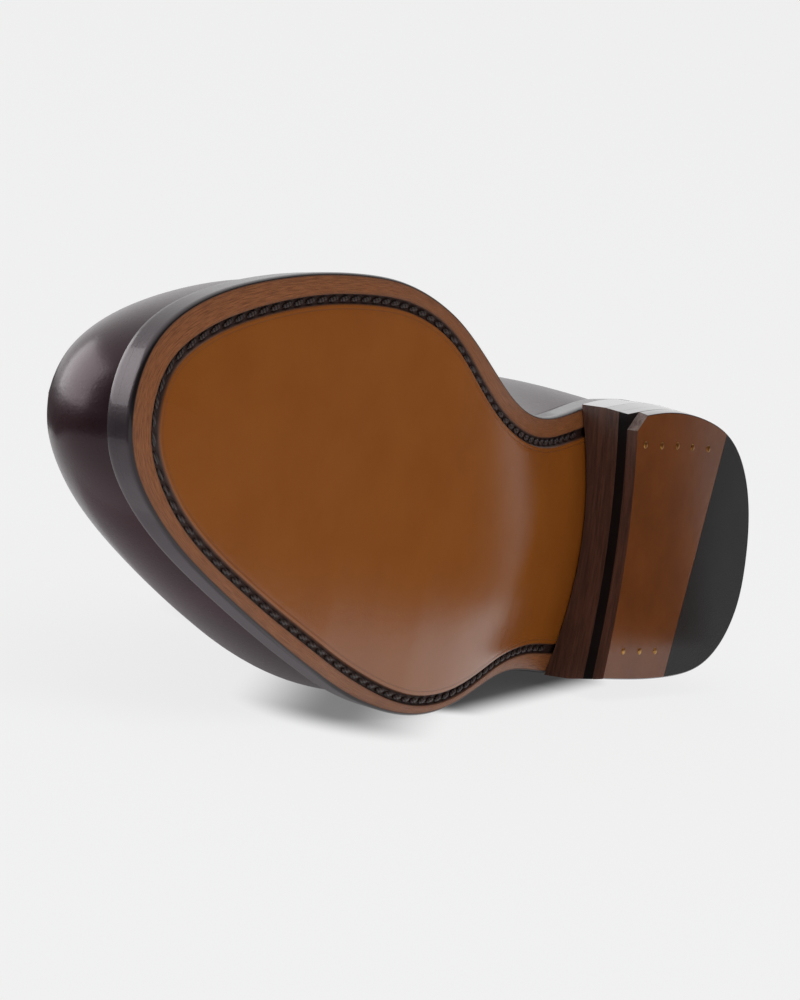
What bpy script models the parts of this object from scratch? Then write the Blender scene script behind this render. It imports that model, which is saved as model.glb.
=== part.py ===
import math

import bmesh
import bpy
import numpy as np
from mathutils import Matrix, Vector

# Right loafer, lying on its outer side.
# The tables are for the shoe standing: +X outer side, +Y toe, +Z up, metres, tread on z = 0.
# A fraction along a side runs from 0 at the heel back to 1 at the toe tip.

# driving sizes
GAP = 0.0003                # left between two pieces that meet
SOLE_THICK = 0.0045         # outsole leather at its edge
WELT_THICK = 0.0025
INSOLE_THICK = 0.0030
UPPER_WALL = 0.0022         # upper leather with its lining
TOP_LIFT_HIGH = 0.0030      # tread of the heel up to its upper face
BLACK_LIFT_HIGH = 0.0056
LOWER_LIFT_HIGH = 0.0097
BREAST_BOW = 0.0034         # hollow of the heel breast
WELT_IN = 0.0006            # welt edge behind the outsole edge
WELT_UNDER = 0.0085         # welt width under the upper and insole
THROAT = 0.52               # where the collar meets the ridge of the vamp
LACE_RADIUS = 0.0011
LACE_DROP = 0.055           # lace below the collar, in steps of the wall's rise
LACE_SLOT = 0.31            # where the lace goes in under the collar
TASSEL_FLAT = 0.72          # tassel depth over its width
SIDE_STATIONS = 37
TONGUE_BASE = 0.575         # under the vamp
TONGUE_TIP = 0.385
TONGUE_HALF = 0.40          # half width, in steps of the wall's rise
TONGUE_WALL = 0.0018
TONGUE_IN = 0.0032          # outer face of the tongue inside the outer face of the upper
KNOT_AT = 0.540
KNOT_SIZE = (0.0068, 0.0056, 0.0036)
LYING_TURN = (2.38533, 1.40740, -2.32036)   # sole edge and two spots of the outer wall on the floor
LYING_PLACE = (0.14967, -0.04670, 0.03460)

# outsole outline from the heel back, along the outer side, round the toe, back along the inner side
OUTLINE_OUTER = [(0.0015, 0.0), (0.0205, 0.0055), (0.0300, 0.0170), (0.0348, 0.0350), (0.0368, 0.0550),
                 (0.0377, 0.0750), (0.0384, 0.0950), (0.0416, 0.1150), (0.0473, 0.1350), (0.0520, 0.1550),
                 (0.0533, 0.1740), (0.0513, 0.1950), (0.0468, 0.2150), (0.0404, 0.2350), (0.0329, 0.2550),
                 (0.0240, 0.2750), (0.0146, 0.2895), (0.0035, 0.2990)]
OUTLINE_INNER = [(-0.0100, 0.3016), (-0.0222, 0.2980), (-0.0310, 0.2896), (-0.0384, 0.2750),
                 (-0.0441, 0.2550), (-0.0476, 0.2350), (-0.0493, 0.2130), (-0.0485, 0.1950),
                 (-0.0442, 0.1750), (-0.0364, 0.1550), (-0.0288, 0.1350), (-0.0254, 0.1150),
                 (-0.0260, 0.0950), (-0.0292, 0.0765), (-0.0330, 0.0600), (-0.0345, 0.0430),
                 (-0.0310, 0.0200), (-0.0190, 0.0055)]

# heel tread outline, back to breast
TREAD_OUTER = [(0.0019, 0.0021), (0.0120, 0.0030), (0.0220, 0.0085), (0.0295, 0.0190), (0.0335, 0.0350),
               (0.0355, 0.0520), (0.0368, 0.0702)]
TREAD_INNER = [(0.0019, 0.0021), (-0.0090, 0.0038), (-0.0200, 0.0092), (-0.0290, 0.0205), (-0.0328, 0.0380),
               (-0.0326, 0.0560), (-0.0296, 0.0735)]
RUBBER_LINE = ((-0.0292, 0.0241), (0.0335, 0.0376))
NOTCH_LINE = ((-0.0245, 0.0742), (-0.0296, 0.0694))

# y, height of the sole edge (kept at the tread where it would dip below it),
# how far the middle hangs below the edge
SOLE_RISE = [(-0.020, 0.0205, 0.0005), (0.000, 0.0196, 0.0010), (0.040, 0.0181, 0.0028),
             (0.070, 0.0168, 0.0036), (0.085, 0.0146, 0.0036), (0.100, 0.0112, 0.0033),
             (0.115, 0.0076, 0.0025), (0.130, 0.0044, 0.0014), (0.145, 0.0020, 0.0005),
             (0.160, 0.0006, 0.0), (0.178, -0.0001, 0.0), (0.195, -0.0002, 0.0),
             (0.212, -0.0001, 0.0), (0.225, 0.0007, 0.0), (0.240, 0.0021, 0.0),
             (0.270, 0.0056, 0.0), (0.300, 0.0101, 0.0), (0.315, 0.0127, 0.0)]

# fraction along the side, sole edge showing outside the upper on the outer and inner side
SOLE_SHOW = [(0.00, 0.0020, 0.0020), (0.15, 0.0020, 0.0020), (0.30, 0.0028, 0.0016), (0.45, 0.0040, 0.0026),
             (0.60, 0.0050, 0.0046), (0.80, 0.0052, 0.0050), (0.92, 0.0056, 0.0056), (1.00, 0.0060, 0.0060)]

# fraction along the side, ridge of the last (x, y, z), wall roundness, swell of the outer and inner wall
LAST = [(0.00, 0.0020, 0.040, 0.118, 0.90, 0.11, 0.11),
        (0.14, 0.0020, 0.056, 0.119, 1.02, 0.05, 0.08),
        (0.28, 0.0026, 0.088, 0.116, 1.02, 0.07, 0.29),
        (0.40, 0.0024, 0.120, 0.101, 0.96, 0.08, 0.39),
        (0.50, 0.0010, 0.149, 0.083, 0.86, 0.09, 0.34),
        (0.60, -0.0016, 0.182, 0.0685, 0.82, 0.08, 0.17),
        (0.70, -0.0034, 0.209, 0.0602, 0.80, 0.09, 0.09),
        (0.80, -0.0046, 0.233, 0.0547, 0.77, 0.11, 0.07),
        (0.90, -0.0058, 0.253, 0.0512, 0.74, 0.11, 0.06),
        (1.00, -0.0068, 0.266, 0.0490, 0.73, 0.08, 0.08)]

# fraction along the side, height of the collar up the wall (1 is the ridge) on the outer and inner side
COLLAR = [(0.00, 0.400, 0.400), (0.08, 0.388, 0.390), (0.16, 0.335, 0.345), (0.24, 0.290, 0.305),
          (0.32, 0.285, 0.305), (0.40, 0.350, 0.365), (0.45, 0.450, 0.460), (0.49, 0.640, 0.645),
          (0.52, 1.0, 1.0)]

# lace from the knot down to the collar: fraction along the side, rise on the outer and inner side
KNOT_RUN = [(0.540, 0.942, 0.925), (0.535, 0.870, 0.860), (0.524, 0.770, 0.770), (0.508, 0.655, 0.655),
            (0.492, 0.555, 0.555), (0.475, 0.470, 0.470)]

# place down the tassel, radius
TASSEL_PROFILE = [(0.0, 0.0), (0.0, 0.0016), (0.0010, 0.0036), (0.0038, 0.0047), (0.0075, 0.0046),
                  (0.0092, 0.0039), (0.0108, 0.0045), (0.0180, 0.0058), (0.0310, 0.0070),
                  (0.0320, 0.0067), (0.0320, 0.0)]

# name, head and foot of each tassel on the inner side: fraction, rise, height above the leather
TASSELS = [("outer", (0.606, 0.975, 0.0036), (0.706, 0.960, 0.0050)),
           ("inner", (0.590, 0.865, 0.0035), (0.678, 0.720, 0.0052))]


def clear_scene():
    for item in list(bpy.data.objects):
        bpy.data.objects.remove(item, do_unlink=True)


def smooth_column(rows, column):
    """Natural cubic through one column of a table over its first column."""
    xs = np.array([row[0] for row in rows])
    ys = np.array([row[column] for row in rows])
    step = np.diff(xs)
    slope = np.diff(ys) / step
    system = np.eye(len(xs))
    right = np.zeros(len(xs))
    for i in range(1, len(xs) - 1):
        system[i, i - 1:i + 2] = step[i - 1], 2 * (step[i - 1] + step[i]), step[i]
        right[i] = 6 * (slope[i] - slope[i - 1])
    bend = np.linalg.solve(system, right)

    def at(x):
        x = np.clip(np.asarray(x, float), xs[0], xs[-1])
        k = np.clip(np.searchsorted(xs, x, side="right") - 1, 0, len(xs) - 2)
        b = (x - xs[k]) / step[k]
        a = 1 - b
        curve = (a ** 3 - a) * bend[k] + (b ** 3 - b) * bend[k + 1]
        return a * ys[k] + b * ys[k + 1] + curve * step[k] ** 2 / 6
    return at


def closed_curve(points):
    """Periodic cubic through points, as a function of a running length, with the knots of that length."""
    ring = np.array(points + points[:1])
    step = np.sqrt(np.hypot(*np.diff(ring, axis=0).T))
    knots = np.concatenate([[0], np.cumsum(step)])
    count = len(points)
    system = np.zeros((count, count))
    right = np.zeros((count, 2))
    for i in range(count):
        before = ring[i] - ring[(i - 1) % count]
        after = ring[i + 1] - ring[i]
        system[i, (i - 1) % count] += step[i - 1]
        system[i, i] += 2 * (step[i - 1] + step[i])
        system[i, (i + 1) % count] += step[i]
        right[i] = 6 * (after / step[i] - before / step[i - 1])
    bend = np.linalg.solve(system, right)
    bend = np.vstack([bend, bend[:1]])

    def at(u):
        u = np.clip(np.asarray(u, float), 0, knots[-1])
        k = np.clip(np.searchsorted(knots, u, side="right") - 1, 0, count - 1)
        h = step[k][:, None]
        b = (u - knots[k])[:, None] / h
        a = 1 - b
        curve = (a ** 3 - a) * bend[k] + (b ** 3 - b) * bend[k + 1]
        return a * ring[k] + b * ring[k + 1] + curve * h * h / 6
    return at, knots


def open_curve(before, after):
    """Natural cubic through two lists of points in turn, its length and where the second list starts."""
    points = np.array(before + after)
    knots = np.concatenate([[0], np.cumsum(np.sqrt(np.hypot(*np.diff(points, axis=0).T)))])
    rows = [(u, *p) for u, p in zip(knots, points)]
    across, along = smooth_column(rows, 1), smooth_column(rows, 2)
    return lambda u: np.stack([across(u), along(u)], axis=-1), knots[-1], knots[len(before)]


def side_of(curve, start, end):
    """One side of a closed curve, as a function of the fraction of its length from start to end."""
    dense = curve(np.linspace(start, end, 3000))
    length = np.concatenate([[0], np.cumsum(np.hypot(*np.diff(dense, axis=0).T))])

    def at(fraction):
        place = np.clip(np.asarray(fraction, float), 0, 1) * length[-1]
        return np.stack([np.interp(place, length, dense[:, c]) for c in (0, 1)], axis=-1)
    return at


outline, outline_knots = closed_curve(OUTLINE_OUTER + OUTLINE_INNER)
TOE_KNOT = outline_knots[len(OUTLINE_OUTER)]
SOLE_SIDE = {1: side_of(outline, 0, TOE_KNOT), -1: side_of(outline, outline_knots[-1], TOE_KNOT)}
tread, tread_length, tread_back = open_curve(TREAD_INNER[:0:-1], TREAD_OUTER)
TREAD_SIDE = {1: side_of(tread, tread_back, tread_length), -1: side_of(tread, tread_back, 0)}
sole_rise = smooth_column(SOLE_RISE, 1)
waist_hang = smooth_column(SOLE_RISE, 2)
SHOW = {1: smooth_column(SOLE_SHOW, 1), -1: smooth_column(SOLE_SHOW, 2)}
RIDGE = [smooth_column(LAST, c) for c in (1, 2, 3)]
roundness = smooth_column(LAST, 4)
SWELL = {1: smooth_column(LAST, 5), -1: smooth_column(LAST, 6)}
COLLAR_AT = {1: smooth_column(COLLAR, 1), -1: smooth_column(COLLAR, 2)}
FEATHER_LIFT = SOLE_THICK + WELT_THICK + 2 * GAP


def sole_edge(y):
    return np.maximum(sole_rise(y), 0)


def sole_hang(y):
    return np.where(np.asarray(y) < 0.16, np.maximum(waist_hang(y), 0), 0)


def inset_side(side, fraction, depth):
    """Points of the sole outline moved inwards by a depth."""
    fraction = np.asarray(fraction, float)
    step = 0.002
    ahead = SOLE_SIDE[side](np.clip(fraction + step, 0, 1))
    behind = SOLE_SIDE[side](np.clip(fraction - step, 0, 1))
    run = ahead - behind
    run /= np.linalg.norm(run, axis=-1)[..., None]
    inward = np.stack([-run[..., 1], run[..., 0]], axis=-1) * side
    at_end = (fraction < 1e-6) | (fraction > 1 - 1e-6)
    straight = np.where((fraction < 0.5)[..., None], [0.0, 1.0], [0.0, -1.0])
    inward = np.where(at_end[..., None], straight, inward)
    return SOLE_SIDE[side](fraction) + inward * np.asarray(depth)[..., None]


def ridge_at(fraction):
    return np.stack([column(fraction) for column in RIDGE], axis=-1)


def ridge_fall(fraction):
    """Slope of the ridge along the shoe."""
    ahead = ridge_at(np.clip(fraction + 0.01, 0, 1))
    behind = ridge_at(np.clip(fraction - 0.01, 0, 1))
    return (ahead[..., 2] - behind[..., 2]) / (ahead[..., 1] - behind[..., 1])


def last_point(side, fraction, rise):
    """Point of the upper's outer face: rise 0 on the welt, 1 on the ridge."""
    fraction, rise = np.broadcast_arrays(np.asarray(fraction, float), np.asarray(rise, float))
    foot = inset_side(side, fraction, SHOW[side](fraction))
    top = ridge_at(fraction)
    base = sole_edge(foot[..., 1]) + FEATHER_LIFT
    turn = np.clip(rise, 0, 1) * math.pi / 2
    cosine = np.maximum(np.cos(turn), 0)
    out = cosine ** roundness(fraction) + SWELL[side](fraction) * np.sin(2 * turn) * (1.6 - rise) * cosine
    out = np.where(rise > 1 - 1e-9, 0, out)
    plan = top[..., :2] + (foot - top[..., :2]) * out[..., None]
    lean = ridge_fall(fraction) * (foot - top[..., :2])[..., 1] * out * (1 - out)
    height = base + (top[..., 2] - base) * np.sin(turn) + np.where(fraction > 0.6, lean, 0)
    return np.concatenate([plan, height[..., None]], axis=-1)


def last_out(side, fraction, rise):
    """Outward unit normal of the upper's outer face."""
    low = min(rise, 0.985)
    d = 0.004
    along = last_point(side, min(fraction + d, 0.999), low)
    along = along - last_point(side, max(fraction - d, 0.001), low)
    upward = last_point(side, fraction, low + d) - last_point(side, fraction, low - d)
    normal = np.cross(along, upward) * side
    return normal / np.linalg.norm(normal)


def material(name, colour, rough):
    item = bpy.data.materials.new(name)
    item.use_nodes = True
    shader = item.node_tree.nodes["Principled BSDF"]
    shader.inputs["Base Color"].default_value = (*colour, 1)
    shader.inputs["Roughness"].default_value = rough
    return item


def finish(name, bm, skin):
    bmesh.ops.remove_doubles(bm, verts=bm.verts, dist=0.00002)
    bmesh.ops.dissolve_degenerate(bm, edges=bm.edges, dist=0.00001)
    bmesh.ops.recalc_face_normals(bm, faces=bm.faces)
    mesh = bpy.data.meshes.new(name)
    bm.to_mesh(mesh)
    bm.free()
    item = bpy.data.objects.new(name, mesh)
    item.data.materials.append(skin)
    parts.objects.link(item)
    item.parent = lying
    return item


def add_grid(bm, rows):
    """Quads between rows of points; the vertices come back row by row."""
    verts = [[bm.verts.new(p) for p in row] for row in rows]
    for upper, lower in zip(verts, verts[1:]):
        for k in range(len(upper) - 1):
            bm.faces.new((upper[k], upper[k + 1], lower[k + 1], lower[k]))
    return verts


def plate(sides, spine, low, high, rings, front=False):
    """Solid between two heights over a plan given as paired sides about a spine."""
    bm = bmesh.new()
    across = np.linspace(1, -1, 2 * rings + 1)
    faces = []
    for height in (low, high):
        rows = []
        for i in range(len(spine)):
            row = []
            for q in across:
                rim = sides[1][i] if q >= 0 else sides[-1][i]
                x, y = spine[i] + (rim - spine[i]) * abs(q)
                row.append((x, y, float(height(x, y, q))))
            rows.append(row)
        faces.append(add_grid(bm, rows))
    for edge in (0, -1):
        add_wall(bm, [row[edge] for row in faces[0]], [row[edge] for row in faces[1]])
    if front:
        add_wall(bm, faces[0][-1], faces[1][-1])
    return bm


def add_wall(bm, lower, upper):
    for k in range(len(lower) - 1):
        bm.faces.new((lower[k], lower[k + 1], upper[k + 1], upper[k]))


def band(outer, inner, low, high):
    """Closed ring of four-sided section between two closed plans."""
    bm = bmesh.new()
    loops = []
    for plan, height in ((outer, low), (outer, high), (inner, high), (inner, low)):
        loops.append([bm.verts.new((x, y, float(height(x, y)))) for x, y in plan])
    for k in range(4):
        one, two = loops[k], loops[(k + 1) % 4]
        for i in range(len(one)):
            j = (i + 1) % len(one)
            bm.faces.new((one[i], one[j], two[j], two[i]))
    return bm


def tube(name, points, radius, skin):
    """Round cord of flat ends along a line of points."""
    data = bpy.data.curves.new(name, "CURVE")
    data.dimensions = "3D"
    data.bevel_depth = radius
    data.bevel_resolution = 2
    data.use_fill_caps = True
    line = data.splines.new("POLY")
    line.points.add(len(points) - 1)
    for point, place in zip(line.points, points):
        point.co = (*place, 1)
    item = bpy.data.objects.new(name, data)
    item.data.materials.append(skin)
    parts.objects.link(item)
    item.parent = lying
    return item


clear_scene()
parts = bpy.data.collections.new("tassel_loafer")
bpy.context.scene.collection.children.link(parts)
lying = bpy.data.objects.new("lying_pose", None)
parts.objects.link(lying)
sole_leather = material("sole_leather", (0.20, 0.065, 0.011), 0.42)
welt_leather = material("welt_leather", (0.045, 0.038, 0.042), 0.4)
stack_leather = material("stack_leather", (0.045, 0.020, 0.012), 0.6)
heel_rubber = material("heel_rubber", (0.012, 0.011, 0.012), 0.55)
upper_leather = material("upper_leather", (0.035, 0.022, 0.024), 0.25)
lining_leather = material("lining_leather", (0.35, 0.22, 0.12), 0.6)
lace_leather = material("lace_leather", (0.035, 0.020, 0.020), 0.35)

# outsole, welt and insole
share = np.linspace(0, 1, SIDE_STATIONS)
station = 0.62 * share + 0.38 * (0.5 - 0.5 * np.cos(math.pi * share))
sole_sides = {s: SOLE_SIDE[s](station) for s in (1, -1)}
middle = 0.5 * (sole_sides[1] + sole_sides[-1])
spine_y = np.interp(station, [0, 0.10, 0.90, 1], [0.022, 0.034, 0.268, 0.281])
spine = np.stack([np.interp(spine_y, middle[:, 1], middle[:, 0]), spine_y], axis=-1)
finish("outsole", plate(sole_sides, spine, lambda x, y, q: sole_edge(y) - sole_hang(y) * (1 - q * q),
                        lambda x, y, q: sole_edge(y) + SOLE_THICK, 4), sole_leather)


def loop_of(depth_outer, depth_inner):
    outer_side = inset_side(1, station, depth_outer)
    inner_side = inset_side(-1, station, depth_inner)
    return np.vstack([outer_side, inner_side[-2:0:-1]])


feather = {s: SHOW[s](station) for s in (1, -1)}
flat = np.zeros(len(station))
finish("welt", band(loop_of(flat + WELT_IN, flat + WELT_IN),
                    loop_of(feather[1] + WELT_UNDER, feather[-1] + WELT_UNDER),
                    lambda x, y: sole_edge(y) + SOLE_THICK + GAP,
                    lambda x, y: sole_edge(y) + SOLE_THICK + GAP + WELT_THICK), welt_leather)
under = UPPER_WALL + 4 * GAP
insole_sides = {s: inset_side(s, station, feather[s] + under) for s in (1, -1)}
finish("insole", plate(insole_sides, spine, lambda x, y, q: sole_edge(y) + FEATHER_LIFT,
                       lambda x, y, q: sole_edge(y) + FEATHER_LIFT + INSOLE_THICK, 2), lining_leather)

# heel lifts, black layer and top lift
heel_share = np.linspace(0, 1, 15)
heel_station = 0.5 * heel_share + 0.5 * np.sin(heel_share * math.pi / 2)
heel_spine_y = np.interp(heel_station, [0, 0.45, 1], [0.026, 0.034, 0.0718])
heel_spine = np.stack([0.0016 + 0.03 * heel_spine_y, heel_spine_y], axis=-1)


def heel_plan(spread):
    sides = {}
    for s in (1, -1):
        rim = TREAD_SIDE[s](heel_station)
        out = rim - heel_spine
        sides[s] = rim + out / np.linalg.norm(out, axis=1)[:, None] * spread
        sides[s][-1] = rim[-1] + np.array([s, 0.0]) * spread
    return sides


def heel_lift(low, high, spread, rings):
    bm = plate(heel_plan(spread), heel_spine, low, high, rings, front=True)
    for v in bm.verts:
        part = min(max((v.co.y - 0.034) / 0.038, 0), 1)
        v.co.y -= BREAST_BOW * part ** 2 * (1 - min(abs(v.co.x - 0.0036) / 0.0332, 1) ** 2)
    return bm


def flat_at(level):
    return lambda x, y, q: level


def under_sole(x, y, q):
    return sole_edge(y) - sole_hang(y) * (1 - q * q) - GAP


finish("heel_lift_upper", heel_lift(flat_at(LOWER_LIFT_HIGH + GAP), under_sole, 0.0012, 4), stack_leather)
finish("heel_lift_lower", heel_lift(flat_at(BLACK_LIFT_HIGH + GAP), flat_at(LOWER_LIFT_HIGH), 0.0008, 2),
       stack_leather)
finish("heel_lift_black", heel_lift(flat_at(TOP_LIFT_HIGH + GAP), flat_at(BLACK_LIFT_HIGH), 0.0004, 2),
       heel_rubber)


def cut(bm, line, keep_front, push):
    """Keeps one side of an upright plane through a line in plan and closes the cut."""
    start, end = (np.array(p) for p in line)
    run = (end - start) / np.linalg.norm(end - start)
    normal = Vector((-run[1], run[0], 0))
    if normal.y < 0:
        normal = -normal
    if not keep_front:
        normal = -normal
    place = Vector((*start, 0)) + normal * push
    done = bmesh.ops.bisect_plane(bm, geom=bm.verts[:] + bm.edges[:] + bm.faces[:], dist=0.000001,
                                  plane_co=place, plane_no=normal, clear_inner=True)
    edges = [g for g in done["geom_cut"] if isinstance(g, bmesh.types.BMEdge)]
    bmesh.ops.holes_fill(bm, edges=edges, sides=0)
    return bm


top_piece = heel_lift(flat_at(0.0), flat_at(TOP_LIFT_HIGH), 0.0, 2)
top_piece = cut(top_piece, RUBBER_LINE, True, GAP / 2)
finish("top_lift_leather", cut(top_piece, NOTCH_LINE, False, 0.0), sole_leather)
rubber_piece = heel_lift(flat_at(0.0), flat_at(TOP_LIFT_HIGH), 0.0, 2)
finish("top_lift_rubber", cut(rubber_piece, RUBBER_LINE, False, GAP / 2), heel_rubber)

# upper: outer face of the last up to the collar, given its wall by Solidify
stations = np.concatenate([np.linspace(0, 0.40, 16)[:-1], np.linspace(0.40, 0.46, 4)[:-1],
                           np.linspace(0.46, THROAT, 10)[:-1], np.linspace(THROAT, 0.86, 10)[:-1],
                           np.linspace(0.86, 1, 7)])
rises = np.linspace(0, 1, 14) ** 1.15
bm = bmesh.new()
for s in (1, -1):
    reach = np.where(stations < THROAT - 1e-6, np.clip(COLLAR_AT[s](stations), 0, 1), 1.0)
    add_grid(bm, [last_point(s, f, rises * r) for f, r in zip(stations, reach)])
bmesh.ops.triangulate(bm, faces=bm.faces)
upper = finish("upper", bm, upper_leather)
wall = upper.modifiers.new("wall", "SOLIDIFY")
wall.thickness = UPPER_WALL
wall.offset = -1
wall.use_even_offset = True

# tongue: strip of the last just inside the upper, from under the vamp up to a round tip
bm = bmesh.new()
rows = []
for a in np.linspace(0, 1, 15):
    f = TONGUE_BASE + (TONGUE_TIP - TONGUE_BASE) * a
    reach = TONGUE_HALF * max(1 - max(0.0, (a - 0.50) / 0.50) ** 3.0, 0.02) ** 0.5
    row = []
    for b in np.linspace(1, -1, 11):
        s = 1 if b >= 0 else -1
        rise = 1 - abs(b) * reach
        row.append(last_point(s, f, rise) - last_out(s, f, rise) * TONGUE_IN)
    rows.append(row)
add_grid(bm, rows)
tongue = finish("tongue", bm, upper_leather)
tongue_wall = tongue.modifiers.new("wall", "SOLIDIFY")
tongue_wall.thickness = TONGUE_WALL
tongue_wall.offset = -1
tongue_wall.use_even_offset = True

# lace from the knot down the collar to a slot on each side, knot on the throat, two ends with tassels
for s, name in ((1, "outer"), (-1, "inner")):
    run = [(row[0], row[1 if s == 1 else 2]) for row in KNOT_RUN]
    run += [(f, float(COLLAR_AT[s](f)) - LACE_DROP) for f in np.linspace(0.455, LACE_SLOT, 9)]
    line = [last_point(s, f, r) + last_out(s, f, r) * (LACE_RADIUS + 1.5 * GAP) for f, r in run]
    tube("lace_" + name, line, LACE_RADIUS, lace_leather)

knot_out = last_out(1, KNOT_AT, 1.0)
knot_out[0] = 0
knot_out /= np.linalg.norm(knot_out)
knot_place = ridge_at(KNOT_AT) + knot_out * (KNOT_SIZE[2] + 1.5 * GAP)
up = Vector(knot_out)
across = Vector((1, 0, 0))
knot_turn = Matrix((across, up.cross(across), up)).transposed()
bm = bmesh.new()
bmesh.ops.create_uvsphere(bm, u_segments=16, v_segments=10, radius=1)
bmesh.ops.scale(bm, verts=bm.verts, vec=KNOT_SIZE)
bmesh.ops.transform(bm, verts=bm.verts, matrix=Matrix.Translation(Vector(knot_place)) @ knot_turn.to_4x4())
finish("lace_knot", bm, lace_leather)

for name, base, tip in TASSELS:
    start = last_point(-1, *base[:2]) + last_out(-1, *base[:2]) * base[2]
    end = last_point(-1, *tip[:2]) + last_out(-1, *tip[:2]) * tip[2]
    along = Vector(end - start).normalized()
    outward = Vector(last_out(-1, 0.5 * (base[0] + tip[0]), 0.5 * (base[1] + tip[1])))
    outward = (outward - along * outward.dot(along)).normalized()
    turn = Matrix((along.cross(outward), outward, along)).transposed()
    bm = bmesh.new()
    line = [bm.verts.new((radius, 0, place)) for place, radius in TASSEL_PROFILE]
    edges = [bm.edges.new(pair) for pair in zip(line, line[1:])]
    bmesh.ops.spin(bm, geom=line + edges, axis=(0, 0, 1), cent=(0, 0, 0), angle=2 * math.pi, steps=14,
                   use_merge=True)
    bmesh.ops.remove_doubles(bm, verts=bm.verts, dist=0.00001)
    bmesh.ops.scale(bm, verts=bm.verts, vec=(1, TASSEL_FLAT, 1))
    bmesh.ops.transform(bm, verts=bm.verts, matrix=Matrix.Translation(Vector(start)) @ turn.to_4x4())
    finish("tassel_" + name, bm, lace_leather)
    away = Vector(start) - Vector(knot_place)
    away.normalize()
    local = knot_turn.transposed() @ away
    reach = 1 / math.sqrt(sum((c / size) ** 2 for c, size in zip(local, KNOT_SIZE)))
    leave = Vector(knot_place) + away * (reach + 2.5 * GAP)
    join = Vector(start) - along * 2 * GAP
    bend = leave.lerp(join, 0.5) + outward * 0.0006
    tube("lace_end_" + name, [leave, bend, join], LACE_RADIUS, lace_leather)

lying.rotation_euler = LYING_TURN
lying.location = LYING_PLACE
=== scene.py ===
import math

import bmesh
import bpy
import numpy as np
from mathutils import Euler, Matrix, Vector


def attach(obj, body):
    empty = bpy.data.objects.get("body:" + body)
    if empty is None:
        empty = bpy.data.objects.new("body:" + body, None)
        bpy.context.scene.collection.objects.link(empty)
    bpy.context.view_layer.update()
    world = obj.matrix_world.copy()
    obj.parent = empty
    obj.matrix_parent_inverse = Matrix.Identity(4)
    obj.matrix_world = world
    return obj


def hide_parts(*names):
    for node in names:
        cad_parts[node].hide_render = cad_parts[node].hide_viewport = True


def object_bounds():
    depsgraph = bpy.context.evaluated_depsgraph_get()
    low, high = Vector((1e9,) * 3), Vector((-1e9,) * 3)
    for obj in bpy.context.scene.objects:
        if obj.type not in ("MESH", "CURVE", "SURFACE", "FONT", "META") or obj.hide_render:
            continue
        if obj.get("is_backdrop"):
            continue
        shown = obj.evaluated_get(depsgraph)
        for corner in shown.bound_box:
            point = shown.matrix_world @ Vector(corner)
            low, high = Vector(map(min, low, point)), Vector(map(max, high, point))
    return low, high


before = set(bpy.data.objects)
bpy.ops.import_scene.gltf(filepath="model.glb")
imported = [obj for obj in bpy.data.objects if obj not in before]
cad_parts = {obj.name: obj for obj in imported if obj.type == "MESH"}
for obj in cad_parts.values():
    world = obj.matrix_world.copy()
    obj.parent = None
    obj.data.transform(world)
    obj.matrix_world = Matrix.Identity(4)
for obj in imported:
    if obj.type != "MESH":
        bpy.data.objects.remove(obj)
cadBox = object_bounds()
scene = bpy.context.scene
print("frame loaded:", len(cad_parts), "nodes")

# the right shoe lies on its outer side; tables below are for the shoe standing,
# +X outer side, +Y toe, +Z up, and this turn lays it down
pose = {"turn": (2.38533, 1.4074, -2.32036), "place": (0.14967, -0.0467, 0.0346)}
lying = Matrix.Translation(pose["place"]) @ Euler(pose["turn"]).to_matrix().to_4x4()
gap = 0.0003                     # the frame leaves this between pieces

# plan of the sole, heel back to toe tip down each side
solePlan = {
    "outer": [
        (0.0015, 0.0), (0.0205, 0.0055), (0.03, 0.017), (0.0348, 0.035), (0.0368, 0.055),
        (0.0377, 0.075), (0.0384, 0.095), (0.0416, 0.115), (0.0473, 0.135), (0.052, 0.155),
        (0.0533, 0.174), (0.0513, 0.195), (0.0468, 0.215), (0.0404, 0.235), (0.0329, 0.255),
        (0.024, 0.275), (0.0146, 0.2895), (0.0035, 0.299)],
    "inner": [
        (-0.01, 0.3016), (-0.0222, 0.298), (-0.031, 0.2896), (-0.0384, 0.275), (-0.0441, 0.255),
        (-0.0476, 0.235), (-0.0493, 0.213), (-0.0485, 0.195), (-0.0442, 0.175), (-0.0364, 0.155),
        (-0.0288, 0.135), (-0.0254, 0.115), (-0.026, 0.095), (-0.0292, 0.0765), (-0.033, 0.06),
        (-0.0345, 0.043), (-0.031, 0.02), (-0.019, 0.0055)],
    # y, height of the edge, hang of the middle below it
    "rise": [
        (-0.02, 0.0205, 0.0005), (0.0, 0.0196, 0.001), (0.04, 0.0181, 0.0028),
        (0.07, 0.0168, 0.0036), (0.085, 0.0146, 0.0036), (0.1, 0.0112, 0.0033),
        (0.115, 0.0076, 0.0025), (0.13, 0.0044, 0.0014), (0.145, 0.002, 0.0005),
        (0.16, 0.0006, 0.0), (0.178, -0.0001, 0.0), (0.195, -0.0002, 0.0), (0.212, -0.0001, 0.0),
        (0.225, 0.0007, 0.0), (0.24, 0.0021, 0.0), (0.27, 0.0056, 0.0), (0.3, 0.0101, 0.0),
        (0.315, 0.0127, 0.0)],
    # fraction, edge showing outside the upper, outer and inner
    "show": [
        (0.0, 0.002, 0.002), (0.15, 0.002, 0.002), (0.3, 0.0028, 0.0016), (0.45, 0.004, 0.0026),
        (0.6, 0.005, 0.0046), (0.8, 0.0052, 0.005), (0.92, 0.0056, 0.0056), (1.0, 0.006, 0.006)],
    "thick": 0.0045,
    "weltThick": 0.0025,
    "hangTo": 0.16,
}
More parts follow.
